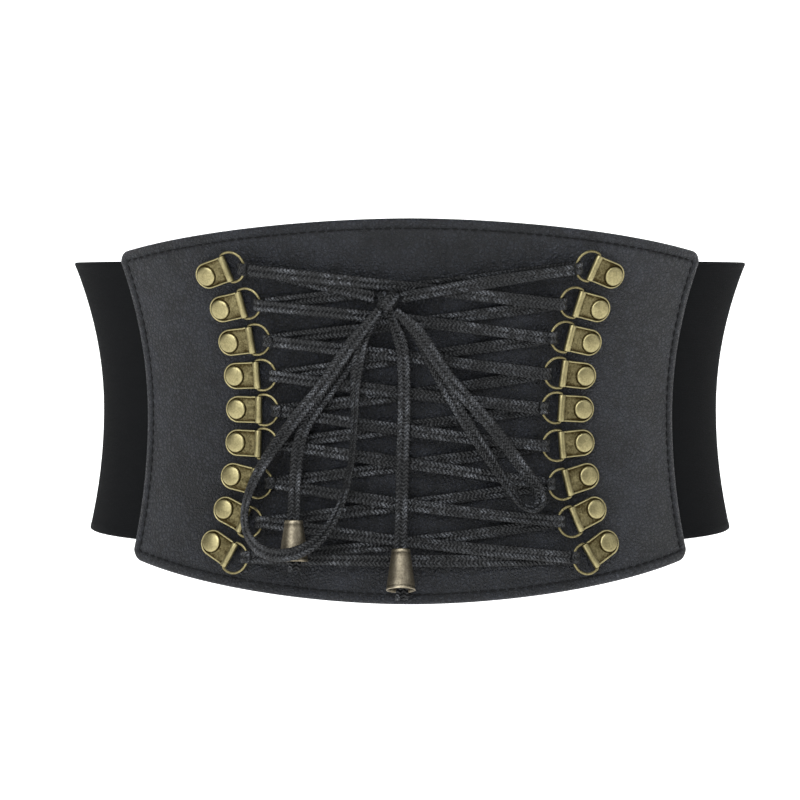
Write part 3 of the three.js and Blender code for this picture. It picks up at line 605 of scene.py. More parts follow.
# The hook plates
# Each hook is a strip of brass sheet pressed with a raised rim, folded round the bar of a D-ring, and held to
# the leather by one cap rivet. The antique finish is dark in the hollows and rubbed bright on the edges.
PLATE_WIDTH = 11.3
PLATE_WALL = 1.2
PLATE_END = 5.2
RIVET_TO_BAR = 10.3
RIM_HEIGHT = 0.5
RIVET_RADIUS = 4.1
RIVET_HEIGHT = 1.8
ROLL_WALL = 0.65
RING_WIRE = 1.1
RING_SHOULDER = 1.4
RING_DEPTH = 9.0
RING_SPACE = 0.3
RIVET_FROM_MIDDLE = 74.5
ROW_SPREAD = 8.0
LACE_WIDTH = 5.5
LACE_THICK = 1.2
LACE_REST = 0.5
HOOK_ROWS = [
    {"out": 0.84, "left": 18, "right": 20},
    {"out": 0.42, "left": 12, "right": 14},
    {"out": 0.2, "left": 7, "right": 12},
    {"out": 0.05, "left": 3, "right": 7},
    {"out": 0, "left": 0, "right": 4},
    {"out": 0.03, "left": -1, "right": -4},
    {"out": 0.22, "left": -11, "right": -14},
    {"out": 0.5, "left": -23, "right": -22},
    {"out": 1, "left": -28, "right": -30},
]
BRASS_BRIGHT = (0.37, 0.322, 0.165, 1.0)
BRASS_DARK = (0.040, 0.028, 0.010, 1.0)

RING_ACROSS = PLATE_WIDTH + 2 * RING_SHOULDER
HOOK_PITCH = RING_ACROSS + RING_SPACE
BAR_BORE = RING_WIRE / 2 + GAP
ROLL_RADIUS = BAR_BORE + ROLL_WALL
BAR_LIFT = GAP + ROLL_RADIUS
RING_ROUND = (RING_ACROSS - RING_WIRE) / 2
RING_ROUND_AT = RING_DEPTH - RING_ROUND
LACE_BELOW = LACE_REST + LACE_THICK / 2
LACE_CROSSING = LACE_BELOW + LACE_THICK + GAP
LACE_TO_WIRE = RING_WIRE / 2 + GAP + LACE_THICK / 2
RING_LIFT = LACE_BELOW + LACE_TO_WIRE + GAP / 2


def behind(point):
    """The angle and the height on the loop behind a point, and how far it stands off the front's face."""
    angle = math.atan2(point[0] / WAIST_HALF[0], -point[1] / WAIST_HALF[1])
    z = point[2]
    for _ in range(6):
        level, up, out = loop_frame(angle, z)
        surface = loop_point(angle, z)
        off = point - surface
        lift = off @ out
        angle += off @ level / math.hypot(surface[0], surface[1])
        z += off @ up
    return angle, z, lift - PANEL_FACE


def hook_place(side, row):
    """A hook's axes, towards its ring, across it and out of the leather, and its ring's own axes."""
    sizes = HOOK_ROWS[row]
    angle = float(angle_at(side * (RIVET_FROM_MIDDLE + sizes["out"] * ROW_SPREAD)))
    z = ((len(HOOK_ROWS) - 1) / 2 - row) * HOOK_PITCH
    tilt = math.radians(sizes["left"] if side < 0 else sizes["right"])
    level, up, out = loop_frame(angle, z)
    rivet = on_loop(angle, z, PANEL_FACE)
    along = level * (-side * math.cos(tilt)) + up * math.sin(tilt)
    across = np.cross(out, along)
    bar = rivet + along * RIVET_TO_BAR + out * BAR_LIFT
    far_angle, far_z, _ = behind(bar + along * RING_DEPTH)
    reach = unit(on_loop(far_angle, far_z, PANEL_FACE + RING_LIFT) - bar)
    over = unit(np.cross(reach, across))
    beside = np.cross(over, reach)
    return {"side": side, "plate": (rivet, along, across, out), "ring": (bar, reach, beside, over),
            "centre": bar + reach * RING_ROUND_AT}


def placed(points, axes):
    """Points in a piece's own axes, put where the piece is."""
    origin, x, y, z = axes
    points = np.asarray(points)
    return origin + points[:, :1] * x + points[:, 1:2] * y + points[:, 2:3] * z


def plate_outline(inset, steps=22):
    """The plan of a plate, moved in by an inset: round beyond the rivet, straight towards the ring."""
    half = PLATE_WIDTH / 2 - inset
    centre = PLATE_WIDTH / 2 - PLATE_END
    turns = np.linspace(90, 270, steps)
    flat_end = RIVET_TO_BAR - ROLL_RADIUS * 0.55
    points = [(flat_end, -half)] + [(flat_end, half * k) for k in (-0.5, 0, 0.5, 1)]
    straight = np.linspace(flat_end, centre, 6)[1:-1]
    points += [(x, half) for x in straight]
    points += [(centre + half * math.cos(math.radians(t)), half * math.sin(math.radians(t))) for t in turns]
    points += [(x, -half) for x in straight[::-1]]
    return np.array(points)


def plate_parts():
    """The plate's sheet, its roll and its rivet, as points, faces and wear, in the plate's own axes."""
    points, faces, wear = [], [], []
    top = GAP + PLATE_WALL
    rim = top + RIM_HEIGHT
    steps = [(0.25, GAP, 0.2), (0.08, GAP + 0.06, 0.3), (0.0, GAP + 0.25, 0.5), (0.0, top + 0.1, 0.75),
             (0.06, rim - 0.16, 0.95), (0.2, rim - 0.03, 1.0), (0.36, rim, 1.0), (0.52, rim - 0.05, 0.9),
             (0.7, rim - 0.2, 0.4), (0.84, top + 0.08, 0.04), (1.0, top, 0.0), (1.4, top - 0.03, 0.1),
             (2.2, top - 0.02, 0.26), (3.6, top, 0.3)]
    count = len(plate_outline(0))
    for inset, height, rubbed in steps:
        for x, y in plate_outline(inset):
            points.append((x, y, height))
            wear.append(rubbed)
    for i in range(len(steps) - 1):
        for j in range(count):
            k = (j + 1) % count
            faces.append((i * count + j, i * count + k, (i + 1) * count + k, (i + 1) * count + j))
    faces.append(tuple(reversed(range(count))))
    last = (len(steps) - 1) * count
    faces.append(tuple(range(last, last + count)))

    def turned(profile, sides, axis, closed=False):
        """A round part from a profile of (place along the axis, radius, wear)."""
        base = len(points)
        for place, radius, rubbed in profile:
            for j in range(sides):
                a = 2 * math.pi * j / sides
                if axis == "y":
                    points.append((RIVET_TO_BAR + radius * math.cos(a), place,
                                   BAR_LIFT - radius * math.sin(a)))
                else:
                    points.append((radius * math.cos(a), radius * math.sin(a), place))
                wear.append(rubbed)
        rings = len(profile)
        for i in range(rings if closed else rings - 1):
            n = (i + 1) % rings
            for j in range(sides):
                k = (j + 1) % sides
                faces.append((base + i * sides + j, base + i * sides + k,
                              base + n * sides + k, base + n * sides + j))
        if not closed:
            faces.append(tuple(reversed(range(base, base + sides))))
            faces.append(tuple(range(base + (rings - 1) * sides, base + rings * sides)))

    half = PLATE_WIDTH / 2
    soft = 0.22
    turned([(-half, BAR_BORE, 0.1), (-half, ROLL_RADIUS - soft, 0.8),
            (-half + soft * 0.4, ROLL_RADIUS - 0.04, 1.0),
            (-half + soft, ROLL_RADIUS, 0.9), (-half * 0.5, ROLL_RADIUS, 0.75), (0, ROLL_RADIUS, 0.7),
            (half * 0.5, ROLL_RADIUS, 0.75), (half - soft, ROLL_RADIUS, 0.9),
            (half - soft * 0.4, ROLL_RADIUS - 0.04, 1.0), (half, ROLL_RADIUS - soft, 0.8),
            (half, BAR_BORE, 0.1)],
           26, "y", closed=True)
    foot = top - 0.3
    crown = top + RIVET_HEIGHT
    r = RIVET_RADIUS
    turned([(foot, r + 0.3, 0.0), (top + 0.02, r + 0.3, 0.0), (top + 0.12, r - 0.1, 0.0), (top + 0.4, r, 0.2),
            (crown - 0.95, r, 0.6), (crown - 0.72, r - 0.08, 0.9), (crown - 0.52, r - 0.32, 0.95),
            (crown - 0.38, r - 0.75, 0.85), (crown - 0.25, r * 0.66, 0.78), (crown - 0.1, r * 0.42, 0.74),
            (crown - 0.02, r * 0.18, 0.74), (crown, 0.05, 0.74)], 32, "z")
    return np.array(points), faces, wear


def metal_wear():
    """Antique plating: dark in the hollows, bright where hands rub it, with fine scratches and specks."""
    tree, given, result = shader_group("metal_wear", [
        ("Vector", "NodeSocketVector", None), ("Rubbed", "NodeSocketFloat", 0.5),
        ("Bright", "NodeSocketColor", None), ("Dark", "NodeSocketColor", None),
        ("Speck Size", "NodeSocketFloat", 0.0008)],
        [("Color", "NodeSocketColor"), ("Roughness", "NodeSocketFloat"), ("Height", "NodeSocketFloat")])
    scale = maths(tree, "DIVIDE", 1.0, given.outputs["Speck Size"])
    at = scaled(tree, given.outputs["Vector"], scale)
    specks = node(tree, "ShaderNodeTexNoise", {"Vector": at, "Scale": 1.0, "Detail": 4.0, "Roughness": 0.65})
    clouds = node(tree, "ShaderNodeTexNoise", {"Vector": at, "Scale": 0.14, "Detail": 3.0})
    stretched = node(tree, "ShaderNodeMapping",
                     {"Vector": at, "Rotation": (0.4, 0.3, 0.8), "Scale": (0.3, 4.0, 4.0)})
    scratches = node(tree, "ShaderNodeTexNoise",
                     {"Vector": stretched.outputs[0], "Scale": 0.8, "Detail": 2.0})
    fleck = spread(tree, specks.outputs[0], 0.3, 0.7, -0.22, 0.22)
    share = maths(tree, "ADD", given.outputs["Rubbed"], fleck)
    cloud = spread(tree, clouds.outputs[0], 0.3, 0.7, -0.15, 0.15)
    share = maths(tree, "ADD", share, cloud, clamp=True)
    shade = colour_mix(tree, share, given.outputs["Dark"], given.outputs["Bright"])
    rough = maths(tree, "ADD", spread(tree, share, 0.0, 1.0, 0.5, 0.33),
                  spread(tree, scratches.outputs[0], 0.4, 0.7, 0.0, 0.12))
    tree.links.new(shade, result.inputs["Color"])
    tree.links.new(rough, result.inputs["Roughness"])
    tree.links.new(maths(tree, "ADD", maths(tree, "MULTIPLY", scratches.outputs[0], 0.5), specks.outputs[0]),
                   result.inputs["Height"])
    return tree


wear_group = metal_wear()


def antique(name, bright, dark, relief):
    material, tree, surface = new_material(name)
    place = node(tree, "ShaderNodeTexCoord").outputs["Object"]
    rubbed = node(tree, "ShaderNodeAttribute", attribute_name="wear").outputs["Fac"]
    wear_and_edge_highlight = node(tree, "ShaderNodeGroup", node_tree=wear_group)
    tree.links.new(place, wear_and_edge_highlight.inputs["Vector"])
    tree.links.new(rubbed, wear_and_edge_highlight.inputs["Rubbed"])
    wear_and_edge_highlight.inputs["Bright"].default_value = bright
    wear_and_edge_highlight.inputs["Dark"].default_value = dark
    tree.links.new(wear_and_edge_highlight.outputs["Color"], surface.inputs["Base Color"])
    tree.links.new(wear_and_edge_highlight.outputs["Roughness"], surface.inputs["Roughness"])
    bump = node(tree, "ShaderNodeBump",
                {"Height": wear_and_edge_highlight.outputs["Height"], "Strength": relief, "Distance": 0.00006})
    tree.links.new(bump.outputs[0], surface.inputs["Normal"])
    surface.inputs["Metallic"].default_value = 1.0
    return material


brass = antique("antique_brass", BRASS_BRIGHT, BRASS_DARK, 0.35)
plate_points, plate_faces, plate_wear = plate_parts()
hooks = {"left": [], "right": []}
for side_name, side in (("left", -1), ("right", 1)):
    for row in range(len(HOOK_ROWS)):
        hook = hook_place(side, row)
        hooks[side_name].append(hook)
        label = f"{side_name}_{row + 1}"
        piece = smooth_mesh(f"hook_{label}", placed(plate_points, hook["plate"]), plate_faces, None,
                            {"wear": plate_wear})
        dressed(piece, "brass", brass, f"hook_plate_{label}")


# The D-rings
# Drawn brass wire bent to a D, its bar held in the plate's roll and its round end towards the lacing. The
# shoulders are a little wider than the plate.
RING_STEPS = 40


def ring_path():
    bar_half = PLATE_WIDTH / 2 + RING_SHOULDER * 0.35
    path = [(0, bar_half * k) for k in (0.9, 0.5, 0, -0.5, -0.9)]
    start = math.radians(-98)
    corner = np.array([ring_at(start * 1.0), (0, -bar_half)])
    path += [tuple(corner[1] * 0.75 + corner[0] * 0.25 + np.array([-0.06, 0]))]
    for i in range(RING_STEPS + 1):
        path.append(ring_at(start - 2 * start * i / RING_STEPS))
    path += [(path[5][0], -path[5][1])]
    return np.array(path)


def ring_at(turn):
    return (RING_ROUND_AT + RING_ROUND * math.cos(turn), RING_ROUND * math.sin(turn))


def wire_points(path, sides=12):
    after = np.roll(path, -1, axis=0)
    before = np.roll(path, 1, axis=0)
    run = unit(after - before)
    points = []
    for (x, y), (dx, dy) in zip(path, run):
        for j in range(sides):
            a = 2 * math.pi * j / sides
            beside = math.cos(a) * RING_WIRE / 2
            points.append((x + dy * beside, y - dx * beside, math.sin(a) * RING_WIRE / 2))
    return np.array(points)


def round_off_path(path, times):
    """Softens a closed path's corners by cutting them."""
    for _ in range(times):
        following = np.roll(path, -1, axis=0)
        path = np.stack([path * 0.75 + following * 0.25, path * 0.25 + following * 0.75], 1).reshape(-1, 2)
    return path


ring_points = wire_points(round_off_path(ring_path(), 1))
ring_count = len(ring_points) // 12
ring_faces_closed = ring_faces(ring_count, 12, close_run=True)
for side_name in hooks:
    for row, hook in enumerate(hooks[side_name]):
        label = f"{side_name}_{row + 1}"
        piece = smooth_mesh(f"d_ring_{label}", placed(ring_points, hook["ring"]), ring_faces_closed, None,
                            {"wear": np.full(len(ring_points), 0.55)})
        dressed(piece, "brass", brass, f"ring_{label}")


# The lacing
# One flat waxed lace, woven with two ridges and a groove between them. It goes down from the bow through
# every second ring, across the foot and back up through the others, under each ring's wire and over it.
LACE_BLACK = (0.0009, 0.0010, 0.0013, 1.0)
LACE_GREY = (0.1500, 0.1570, 0.1720, 1.0)
TURN_WIDTH = LACE_WIDTH * 0.98
TURN_SLACK = 1.6
WIRE_BOW = RING_ROUND - math.sqrt(RING_ROUND ** 2 - (TURN_WIDTH / 2) ** 2)
BOW_ACROSS = -9.2
BOW_UP = 47.9
BOW_LIFT = 7.6
KNOT_WIDTH = 10.5
KNOT_HEIGHT = 9.5
KNOT_DEPTH = 8.0


def over_panel(x, z, lift):
    """The point at a level distance x from the middle, lifted off the front's face, and the way out there."""
    height = PANEL_FACE + lift
    width = loop_point(math.pi / 2, z)[0]
    angle = math.asin(x / (width + height))
    for _ in range(4):
        angle = math.asin((x - loop_frame(angle, z)[2][0] * height) / width)
    return on_loop(angle, z, height), loop_frame(angle, z)[2]


def pull_point(hook):
    """Where the lace pulls on a ring: the point of its round end nearest the middle of the belt."""
    _, _, _, over = hook["ring"]
    level = np.array([-hook["side"], 0.0, 0.0])
    pull = unit(level - over * (level @ over))
    wire = hook["centre"] + pull * RING_ROUND
    angle, z, lift = behind(wire)
    return {"angle": angle, "z": z, "lift": lift, "wire": wire, "pull": pull, "out": over}


def lacing_stations():
    """Middles, facings and widths of the lace from the knot, through all the rings, back to the knot."""
    chance = random.Random(11)
    last = len(HOOK_ROWS) - 1
    visits = [hooks["left" if row % 2 == 0 else "right"][row] for row in range(last + 1)]
    visits += [hooks["right" if row % 2 == 0 else "left"][row] for row in range(last, -1, -1)]
    pulls = [pull_point(hook) for hook in visits]
    bow_height = LACE_CROSSING + LACE_THICK + GAP
    knot, _ = over_panel(BOW_ACROSS, BOW_UP, bow_height)
    knot_angle, knot_z, _ = behind(knot)
    middles, facings, widths = [], [], []

    def add_run(start, end, heights, ends):
        steps = 70
        sway = chance.uniform(-0.7, 0.7)
        roll = chance.uniform(-0.16, 0.16)
        ripple = chance.uniform(0, 6.28)
        for i in range(steps + 1):
            share = ends[0] + (ends[1] - ends[0]) * i / steps
            arch = math.sin(math.pi * share)
            angle = start[0] + (end[0] - start[0]) * share
            z = start[1] + (end[1] - start[1]) * share + sway * arch
            lift = np.interp(share, (0, 0.5, 1), heights)
            lean = roll * arch * math.sin(5 * share + ripple)
            level, up, out = loop_frame(angle, z)
            middles.append(on_loop(angle, z, PANEL_FACE + lift))
            facings.append(out * math.cos(lean) + up * math.sin(lean))
            widths.append(LACE_WIDTH * (1 - 0.06 * (1 + math.sin(9 * share + ripple))))

    def add_turn(pull, from_below):
        order = range(-90, 91, 15) if from_below else range(90, -91, -15)
        for degrees in order:
            turn = math.radians(degrees)
            middles.append(pull["wire"] + pull["out"] * (LACE_TO_WIRE * math.sin(turn))
                           - pull["pull"] * ((LACE_TO_WIRE + WIRE_BOW + TURN_SLACK) * math.cos(turn)))
            facing = pull["out"] * math.sin(turn) - pull["pull"] * math.cos(turn)
            facings.append(-facing if from_below else facing)
            widths.append(TURN_WIDTH)

    def height_at(pull, above):
        return pull["lift"] + (LACE_TO_WIRE if above else -LACE_TO_WIRE)

    near = 0.03
    first, final = pulls[0], pulls[-1]
    reach = (KNOT_WIDTH / 2 + GAP) / abs(knot[0] - first["wire"][0])
    add_run((knot_angle, knot_z), (first["angle"], first["z"]),
            (bow_height, LACE_BELOW, height_at(first, False)), (reach, 1 - near))
    for i, pull in enumerate(pulls):
        from_below = i == 0 or (i % 2 == 0 if i <= last else (i - last) % 2 == 1)
        add_turn(pull, from_below)
        if i == len(pulls) - 1:
            break
        following = pulls[i + 1]
        foot = i == last
        middle = LACE_CROSSING if foot or from_below else LACE_BELOW
        arrive_above = False if foot else from_below
        heights = (height_at(pull, from_below), middle, height_at(following, arrive_above))
        add_run((pull["angle"], pull["z"]), (following["angle"], following["z"]), heights, (near, 1 - near))
    reach = 1 - (KNOT_WIDTH / 2 + GAP) / abs(knot[0] - final["wire"][0])
    add_run((final["angle"], final["z"]), (knot_angle, knot_z),
            (height_at(final, True), bow_height, bow_height), (near, reach))
    return np.array(middles), np.array(facings), np.array(widths)


LACE_PROFILE = [(1.0, 0.0), (0.97, 0.42), (0.86, 0.74), (0.66, 0.96), (0.44, 0.98), (0.24, 0.78),
                (0.09, 0.42), (0.0, 0.34)]


def lace_section():
    """The woven lace's section as shares of its half width and half thickness: two ridges on each face."""
    side = np.array(LACE_PROFILE)
    top = np.concatenate([side, side[::-1][1:] * (-1, 1)])
    bottom = top[::-1][1:-1] * (1, -1)
    return np.concatenate([top, bottom])


def even_steps(middles, facings, widths, step, smoothing):
    """Places the stations at even steps along the run, and softens its corners."""
    lengths = np.concatenate([[0], np.cumsum(np.linalg.norm(np.diff(middles, axis=0), axis=1))])
    count = int(lengths[-1] / step)
    at = np.linspace(0, lengths[-1], count + 1)
    middles = np.stack([np.interp(at, lengths, middles[:, k]) for k in range(3)], -1)
    facings = np.stack([np.interp(at, lengths, facings[:, k]) for k in range(3)], -1)
    widths = np.interp(at, lengths, widths)
    for _ in range(smoothing):
        for values in (middles, facings):
            values[1:-1] = values[1:-1] * 0.5 + (values[:-2] + values[2:]) * 0.25
        widths[1:-1] = widths[1:-1] * 0.5 + (widths[:-2] + widths[2:]) * 0.25
    return middles, unit(facings), widths, at


def lace_skin(middles, across, facings, widths, along):
    """Rings of the lace's section at stations, with the run and the width as UVs, and the ridges' mask."""
    section = lace_section()
    points = (middles[:, None] + across[:, None] * (section[None, :, :1] * widths[:, None, None] / 2)
              + facings[:, None] * (section[None, :, 1:] * LACE_THICK / 2))
    run = np.repeat(along[:, None], len(section), 1)
    uv = np.stack([run, section[None, :, 0] * widths[:, None] / 2], -1)
    return points, uv, np.abs(np.repeat(section[None, :, 1], len(middles), 0))


def tape(name, middles, facings, widths, at):
    """The skin of a flat lace along a run of stations, with its run and its width in millimetres as UVs."""
    run = unit(np.gradient(middles, axis=0))
    across = unit(np.cross(run, facings))
    facing = np.cross(across, run)
    points, uv, ridge = lace_skin(middles, across, facing, widths, at)
    faces = ring_faces(len(middles), points.shape[1])
    return smooth_mesh(name, points.reshape(-1, 3), faces, uv.reshape(-1, 2), {"ridge": ridge})


def braid_weave():
    """A flat braid: threads cross each ridge slantwise, one way on one side and the other beside it."""
    tree, given, result = shader_group("braid_weave", [
        ("Vector", "NodeSocketVector", None), ("Pick", "NodeSocketFloat", 0.0017),
        ("Slant", "NodeSocketFloat", 0.9)],
        [("Height", "NodeSocketFloat"), ("Thread", "NodeSocketFloat"), ("Fibre", "NodeSocketFloat")])
    place = node(tree, "ShaderNodeSeparateXYZ", {0: given.outputs["Vector"]})
    along, beside = place.outputs[0], place.outputs[1]
    quarter = maths(tree, "PINGPONG", maths(tree, "ADD", beside, 0.1), 0.00138)
    slant = maths(tree, "MULTIPLY", quarter, given.outputs["Slant"])
    phase = maths(tree, "DIVIDE", maths(tree, "ADD", along, slant), given.outputs["Pick"])
    wobble = node(tree, "ShaderNodeTexNoise",
                  {"Vector": given.outputs["Vector"], "Scale": 420.0, "Detail": 2.0})
    phase = maths(tree, "ADD", phase, spread(tree, wobble.outputs[0], 0.3, 0.7, -0.22, 0.22))
    wave = maths(tree, "PINGPONG", phase, 0.5)
    thread_height = spread(tree, wave, 0.0, 0.42, 0.0, 1.0)
    rounded = maths(tree, "POWER", thread_height, 0.6)
    fibre = node(tree, "ShaderNodeTexNoise",
                 {"Vector": given.outputs["Vector"], "Scale": 1700.0, "Detail": 2.0})
    tree.links.new(maths(tree, "ADD", rounded, maths(tree, "MULTIPLY", fibre.outputs[0], 0.35)),
                   result.inputs["Height"])
    tree.links.new(rounded, result.inputs["Thread"])
    tree.links.new(fibre.outputs[0], result.inputs["Fibre"])
    return tree


weave_group = braid_weave()


def waxed_lace():
    """Black lace whose threads' crests are a paler colour, and not only gloss: partly a whitish film of wax,
    partly painted highlights in place of the threads' glints.
    """
    material, tree, surface = new_material("waxed_lace")
    uv = node(tree, "ShaderNodeUVMap", uv_map="run").outputs[0]
    weave = node(tree, "ShaderNodeGroup", node_tree=weave_group)
    tree.links.new(uv, weave.inputs["Vector"])
    ridge = node(tree, "ShaderNodeAttribute", attribute_name="ridge").outputs["Fac"]
    wax = node(tree, "ShaderNodeTexNoise", {"Vector": uv, "Scale": 260.0, "Detail": 3.0, "Roughness": 0.7})
    stretch = node(tree, "ShaderNodeTexNoise", {"Vector": uv, "Scale": 34.0, "Detail": 2.0, "Roughness": 0.6})
    waxed = spread(tree, stretch.outputs[0], 0.44, 0.56, 0.08, 1.0)
    bloom_and_glints = maths(tree, "MULTIPLY", spread(tree, wax.outputs[0], 0.4, 0.62, 0.0, 1.0), waxed)
    # Painted highlight, partly wax: the threads' crests on the ridges are painted paler where the wax patches
    # lie.
    lit = maths(tree, "MULTIPLY", weave.outputs["Thread"], spread(tree, ridge, 0.4, 1.0, 0.0, 1.0))
    flecks = maths(tree, "MULTIPLY", bloom_and_glints, spread(tree, weave.outputs["Fibre"], 0.4, 0.6, 0.1, 1.0))
    lit = maths(tree, "MULTIPLY", lit, flecks)
    tree.links.new(colour_mix(tree, lit, LACE_BLACK, LACE_GREY), surface.inputs["Base Color"])
    rough = maths(tree, "ADD", spread(tree, weave.outputs["Fibre"], 0.3, 0.7, -0.06, 0.08),
                  spread(tree, bloom_and_glints, 0.0, 1.0, 0.46, 0.24))
    tree.links.new(rough, surface.inputs["Roughness"])
    bump = node(tree, "ShaderNodeBump",
                {"Height": weave.outputs["Height"], "Strength": 1.0, "Distance": 0.0006})
    tree.links.new(bump.outputs[0], surface.inputs["Normal"])
    surface.inputs["Specular IOR Level"].default_value = 0.38
    surface.inputs["Coat Weight"].default_value = 0.03
    surface.inputs["Coat Roughness"].default_value = 0.3
    return material


lace_material = waxed_lace()
dressed(tape("lacing_run", *even_steps(*lacing_stations(), 1.0, 6)), "lace", lace_material, "lacing")


# The bow
# The same lace, tied in a bow at the top crossing: a tight knot, two soft loops that stand off the lacing,
# and two ends that hang down. The routes give the level place, the height, the lift off the leather and the
# turn of the lace's face in degrees.
LOOP_LEFT_ROUTE = [
    (-12.9, 44.9, 10, 0), (-18.2, 38, 10, 0), (-23.6, 31, 9.8, 0), (-29.8, 21.8, 9.2, 0),
    (-37, 10.8, 8.4, 0), (-44.6, 1.2, 8, 5), (-51.6, -8.2, 8, 10), (-58.8, -18.6, 8.4, 15),
    (-64.8, -29, 9, 20), (-68.4, -38.6, 10, 25), (-69.4, -48, 12, 30), (-66.8, -56, 14.6, 30),
    (-61.6, -61, 16.8, 20), (-54.8, -62.8, 18.2, 10), (-47.6, -61.6, 18.6, 0), (-41, -58, 17.2, -15),
    (-35.4, -52.2, 14.6, -30), (-30.4, -43.6, 12, -42), (-27, -34, 10, -50), (-24.8, -23.8, 8.8, -54),
    (-23.6, -12, 8.2, -54), (-23, 0.4, 8, -50), (-22.8, 12, 7.8, -34), (-21.6, 22.6, 7.6, -10),
    (-18.6, 33.8, 7.6, 0), (-12.9, 43.6, 7.6, 0),
]
TAIL_LEFT_ROUTE = [
    (-12.7, 44.6, 5.2, 0), (-17.4, 36, 5.2, 0), (-22, 27.4, 5.2, 0), (-27.8, 18, 5.2, 0),
    (-34.2, 8.4, 5.2, 0), (-40.4, -0.4, 5.2, 0), (-45, -9, 5.4, 0), (-47.2, -18.6, 6, 0),
    (-48, -29, 7.6, 0), (-48.4, -37, 9.6, 0), (-48.5, -43, 11.2, 0), (-48.5, -47.2, 11.6, 0),
    (-48.5, -50.2, 11.6, 0), (-48.5, -53.2, 11.6, 0),
]
TAIL_CENTRE_ROUTE = [
    (-8.2, 43.7, 5.2, 0), (-6.9, 38.4, 5.2, 0), (-4.8, 33, 5, 0), (-3.2, 27, 4.8, 0),
    (-2.6, 18, 4.8, 0), (-2.5, 8.8, 4.8, 0), (-2.6, -1.8, 4.8, 0), (-2.9, -12.2, 4.8, 0),
    (-3.2, -22.8, 5, 0), (-3.4, -33.2, 5.4, 0), (-3.6, -43.8, 5.9, 0), (-3.8, -52, 6.6, 0),
    (-3.8, -58.6, 7.45, 0), (-3.8, -61.7, 7.9, 0), (-3.8, -64.8, 8.3, 0),
]
LOOP_RIGHT_ROUTE = [
    (-6.1, 44.6, 10, 0), (-2, 41, 10, 0), (2, 37, 10, 0), (6.2, 31, 9.8, 0),
    (10.4, 24, 9.6, 0), (15.8, 15.6, 9.2, 0), (22.6, 7.2, 8.8, 0), (30, -1.4, 8.4, 0),
    (37.2, -10.6, 8.2, 10), (43.6, -19.6, 8, 20), (49.6, -28, 8, 34), (53.6, -34.2, 8, 46),
    (54.8, -39, 8, 54), (51.6, -42.4, 8, 56), (46.6, -40.2, 8, 50), (41.4, -33, 7.8, 40),
    (35.4, -23.6, 7.6, 26), (29, -13.6, 7.2, 15), (22.6, -3.2, 6.9, 0), (16.6, 7.6, 6.8, 0),
    (11.2, 18, 7, 0), (6.6, 27.6, 7.3, 0), (1.4, 35.8, 7.5, 0), (-5.4, 43.8, 7.6, 0),
]


def smooth_route(points, steps=16):
    """A centripetal Catmull-Rom curve through points, and each sample's place in the list."""
    points = np.asarray(points)
    before, after = 2 * points[0] - points[1], 2 * points[-1] - points[-2]
    padded = np.concatenate([[before], points, [after]])
    samples, places = [], []
    for i in range(1, len(padded) - 2):
        p = padded[i - 1:i + 3]
        knots = np.concatenate([[0], np.cumsum(np.linalg.norm(np.diff(p, axis=0), axis=1) ** 0.5)])
        for t in np.linspace(knots[1], knots[2], steps, endpoint=i == len(padded) - 3):
            a = [((knots[k + 1] - t) * p[k] + (t - knots[k]) * p[k + 1]) / (knots[k + 1] - knots[k])
                 for k in range(3)]
            b = [((knots[k + 2] - t) * a[k] + (t - knots[k]) * a[k + 1]) / (knots[k + 2] - knots[k])
                 for k in range(2)]
            samples.append(((knots[2] - t) * b[0] + (t - knots[1]) * b[1]) / (knots[2] - knots[1]))
            places.append(i - 1 + (t - knots[1]) / (knots[2] - knots[1]))
    return np.array(samples), np.array(places)


def free_lace(name, node_name, route, gathered_end, twist=0.0):
    """A free stretch of the lace along its route, gathered where it leaves the knot."""
    middles, places = smooth_route([over_panel(x, z, lift)[0] for x, z, lift, _ in route])
    run = unit(np.gradient(middles, axis=0))
    turns = np.radians(np.interp(places, range(len(route)), [turn for _, _, _, turn in route]))
    turns = turns + twist * np.sin(places * 0.9)
    facings = []
    for middle, way, turn in zip(middles, run, turns):
        flat = over_panel(middle[0], middle[2], 0)[1]
        flat = Vector(flat - way * (flat @ way)).normalized()
        facings.append(Matrix.Rotation(turn, 3, Vector(way)) @ flat)
    nearest = np.minimum(places, len(route) - 1 - places) if gathered_end else places
    widths = LACE_WIDTH * np.minimum(1, 0.6 + 0.2 * nearest)
    stations = even_steps(middles, np.array(facings), widths, 0.8, 2)
    return dressed(tape(name, *stations), "lace", lace_material, node_name), stations[0]


def knot_body(size, lumps, seed):
    """A tight knot's round body, pulled in and out where the lace's turns cross over it."""
    chance = random.Random(seed)
    rings, sides = 36, 48
    turns = [(chance.uniform(0, 3.14), chance.uniform(-0.6, 0.6)) for _ in range(lumps)]
    points, faces, uvs, ridge = [], [], [], []
    for i in range(rings + 1):
        polar = math.pi * min(max(i / rings, 0.004), 0.996)
        for j in range(sides):
            a = 2 * math.pi * j / sides
            way = np.array([math.sin(polar) * math.cos(a), math.sin(polar) * math.sin(a), math.cos(polar)])
            swell = 0.0
            for heading, tip in turns:
                plane = way @ unit(np.array([math.cos(heading), 0.5 * tip, math.sin(heading)]))
                swell += 0.10 * math.cos(min(abs(plane) * 5.2, math.pi))
            radius = 0.5 * (0.93 + 0.5 * swell)
            points.append(way * np.array(size) * radius)
            uvs.append((a * size[0] / 2, polar * size[2] / 2))
            ridge.append(0.75 + swell)
    for i in range(rings):
        for j in range(sides):
            k = (j + 1) % sides
            faces.append((i * sides + j, (i + 1) * sides + j, (i + 1) * sides + k, i * sides + k))
    faces.append(tuple(range(sides)))
    faces.append(tuple(reversed(range(rings * sides, (rings + 1) * sides))))
    return np.array(points), faces, np.array(uvs), np.array(ridge)


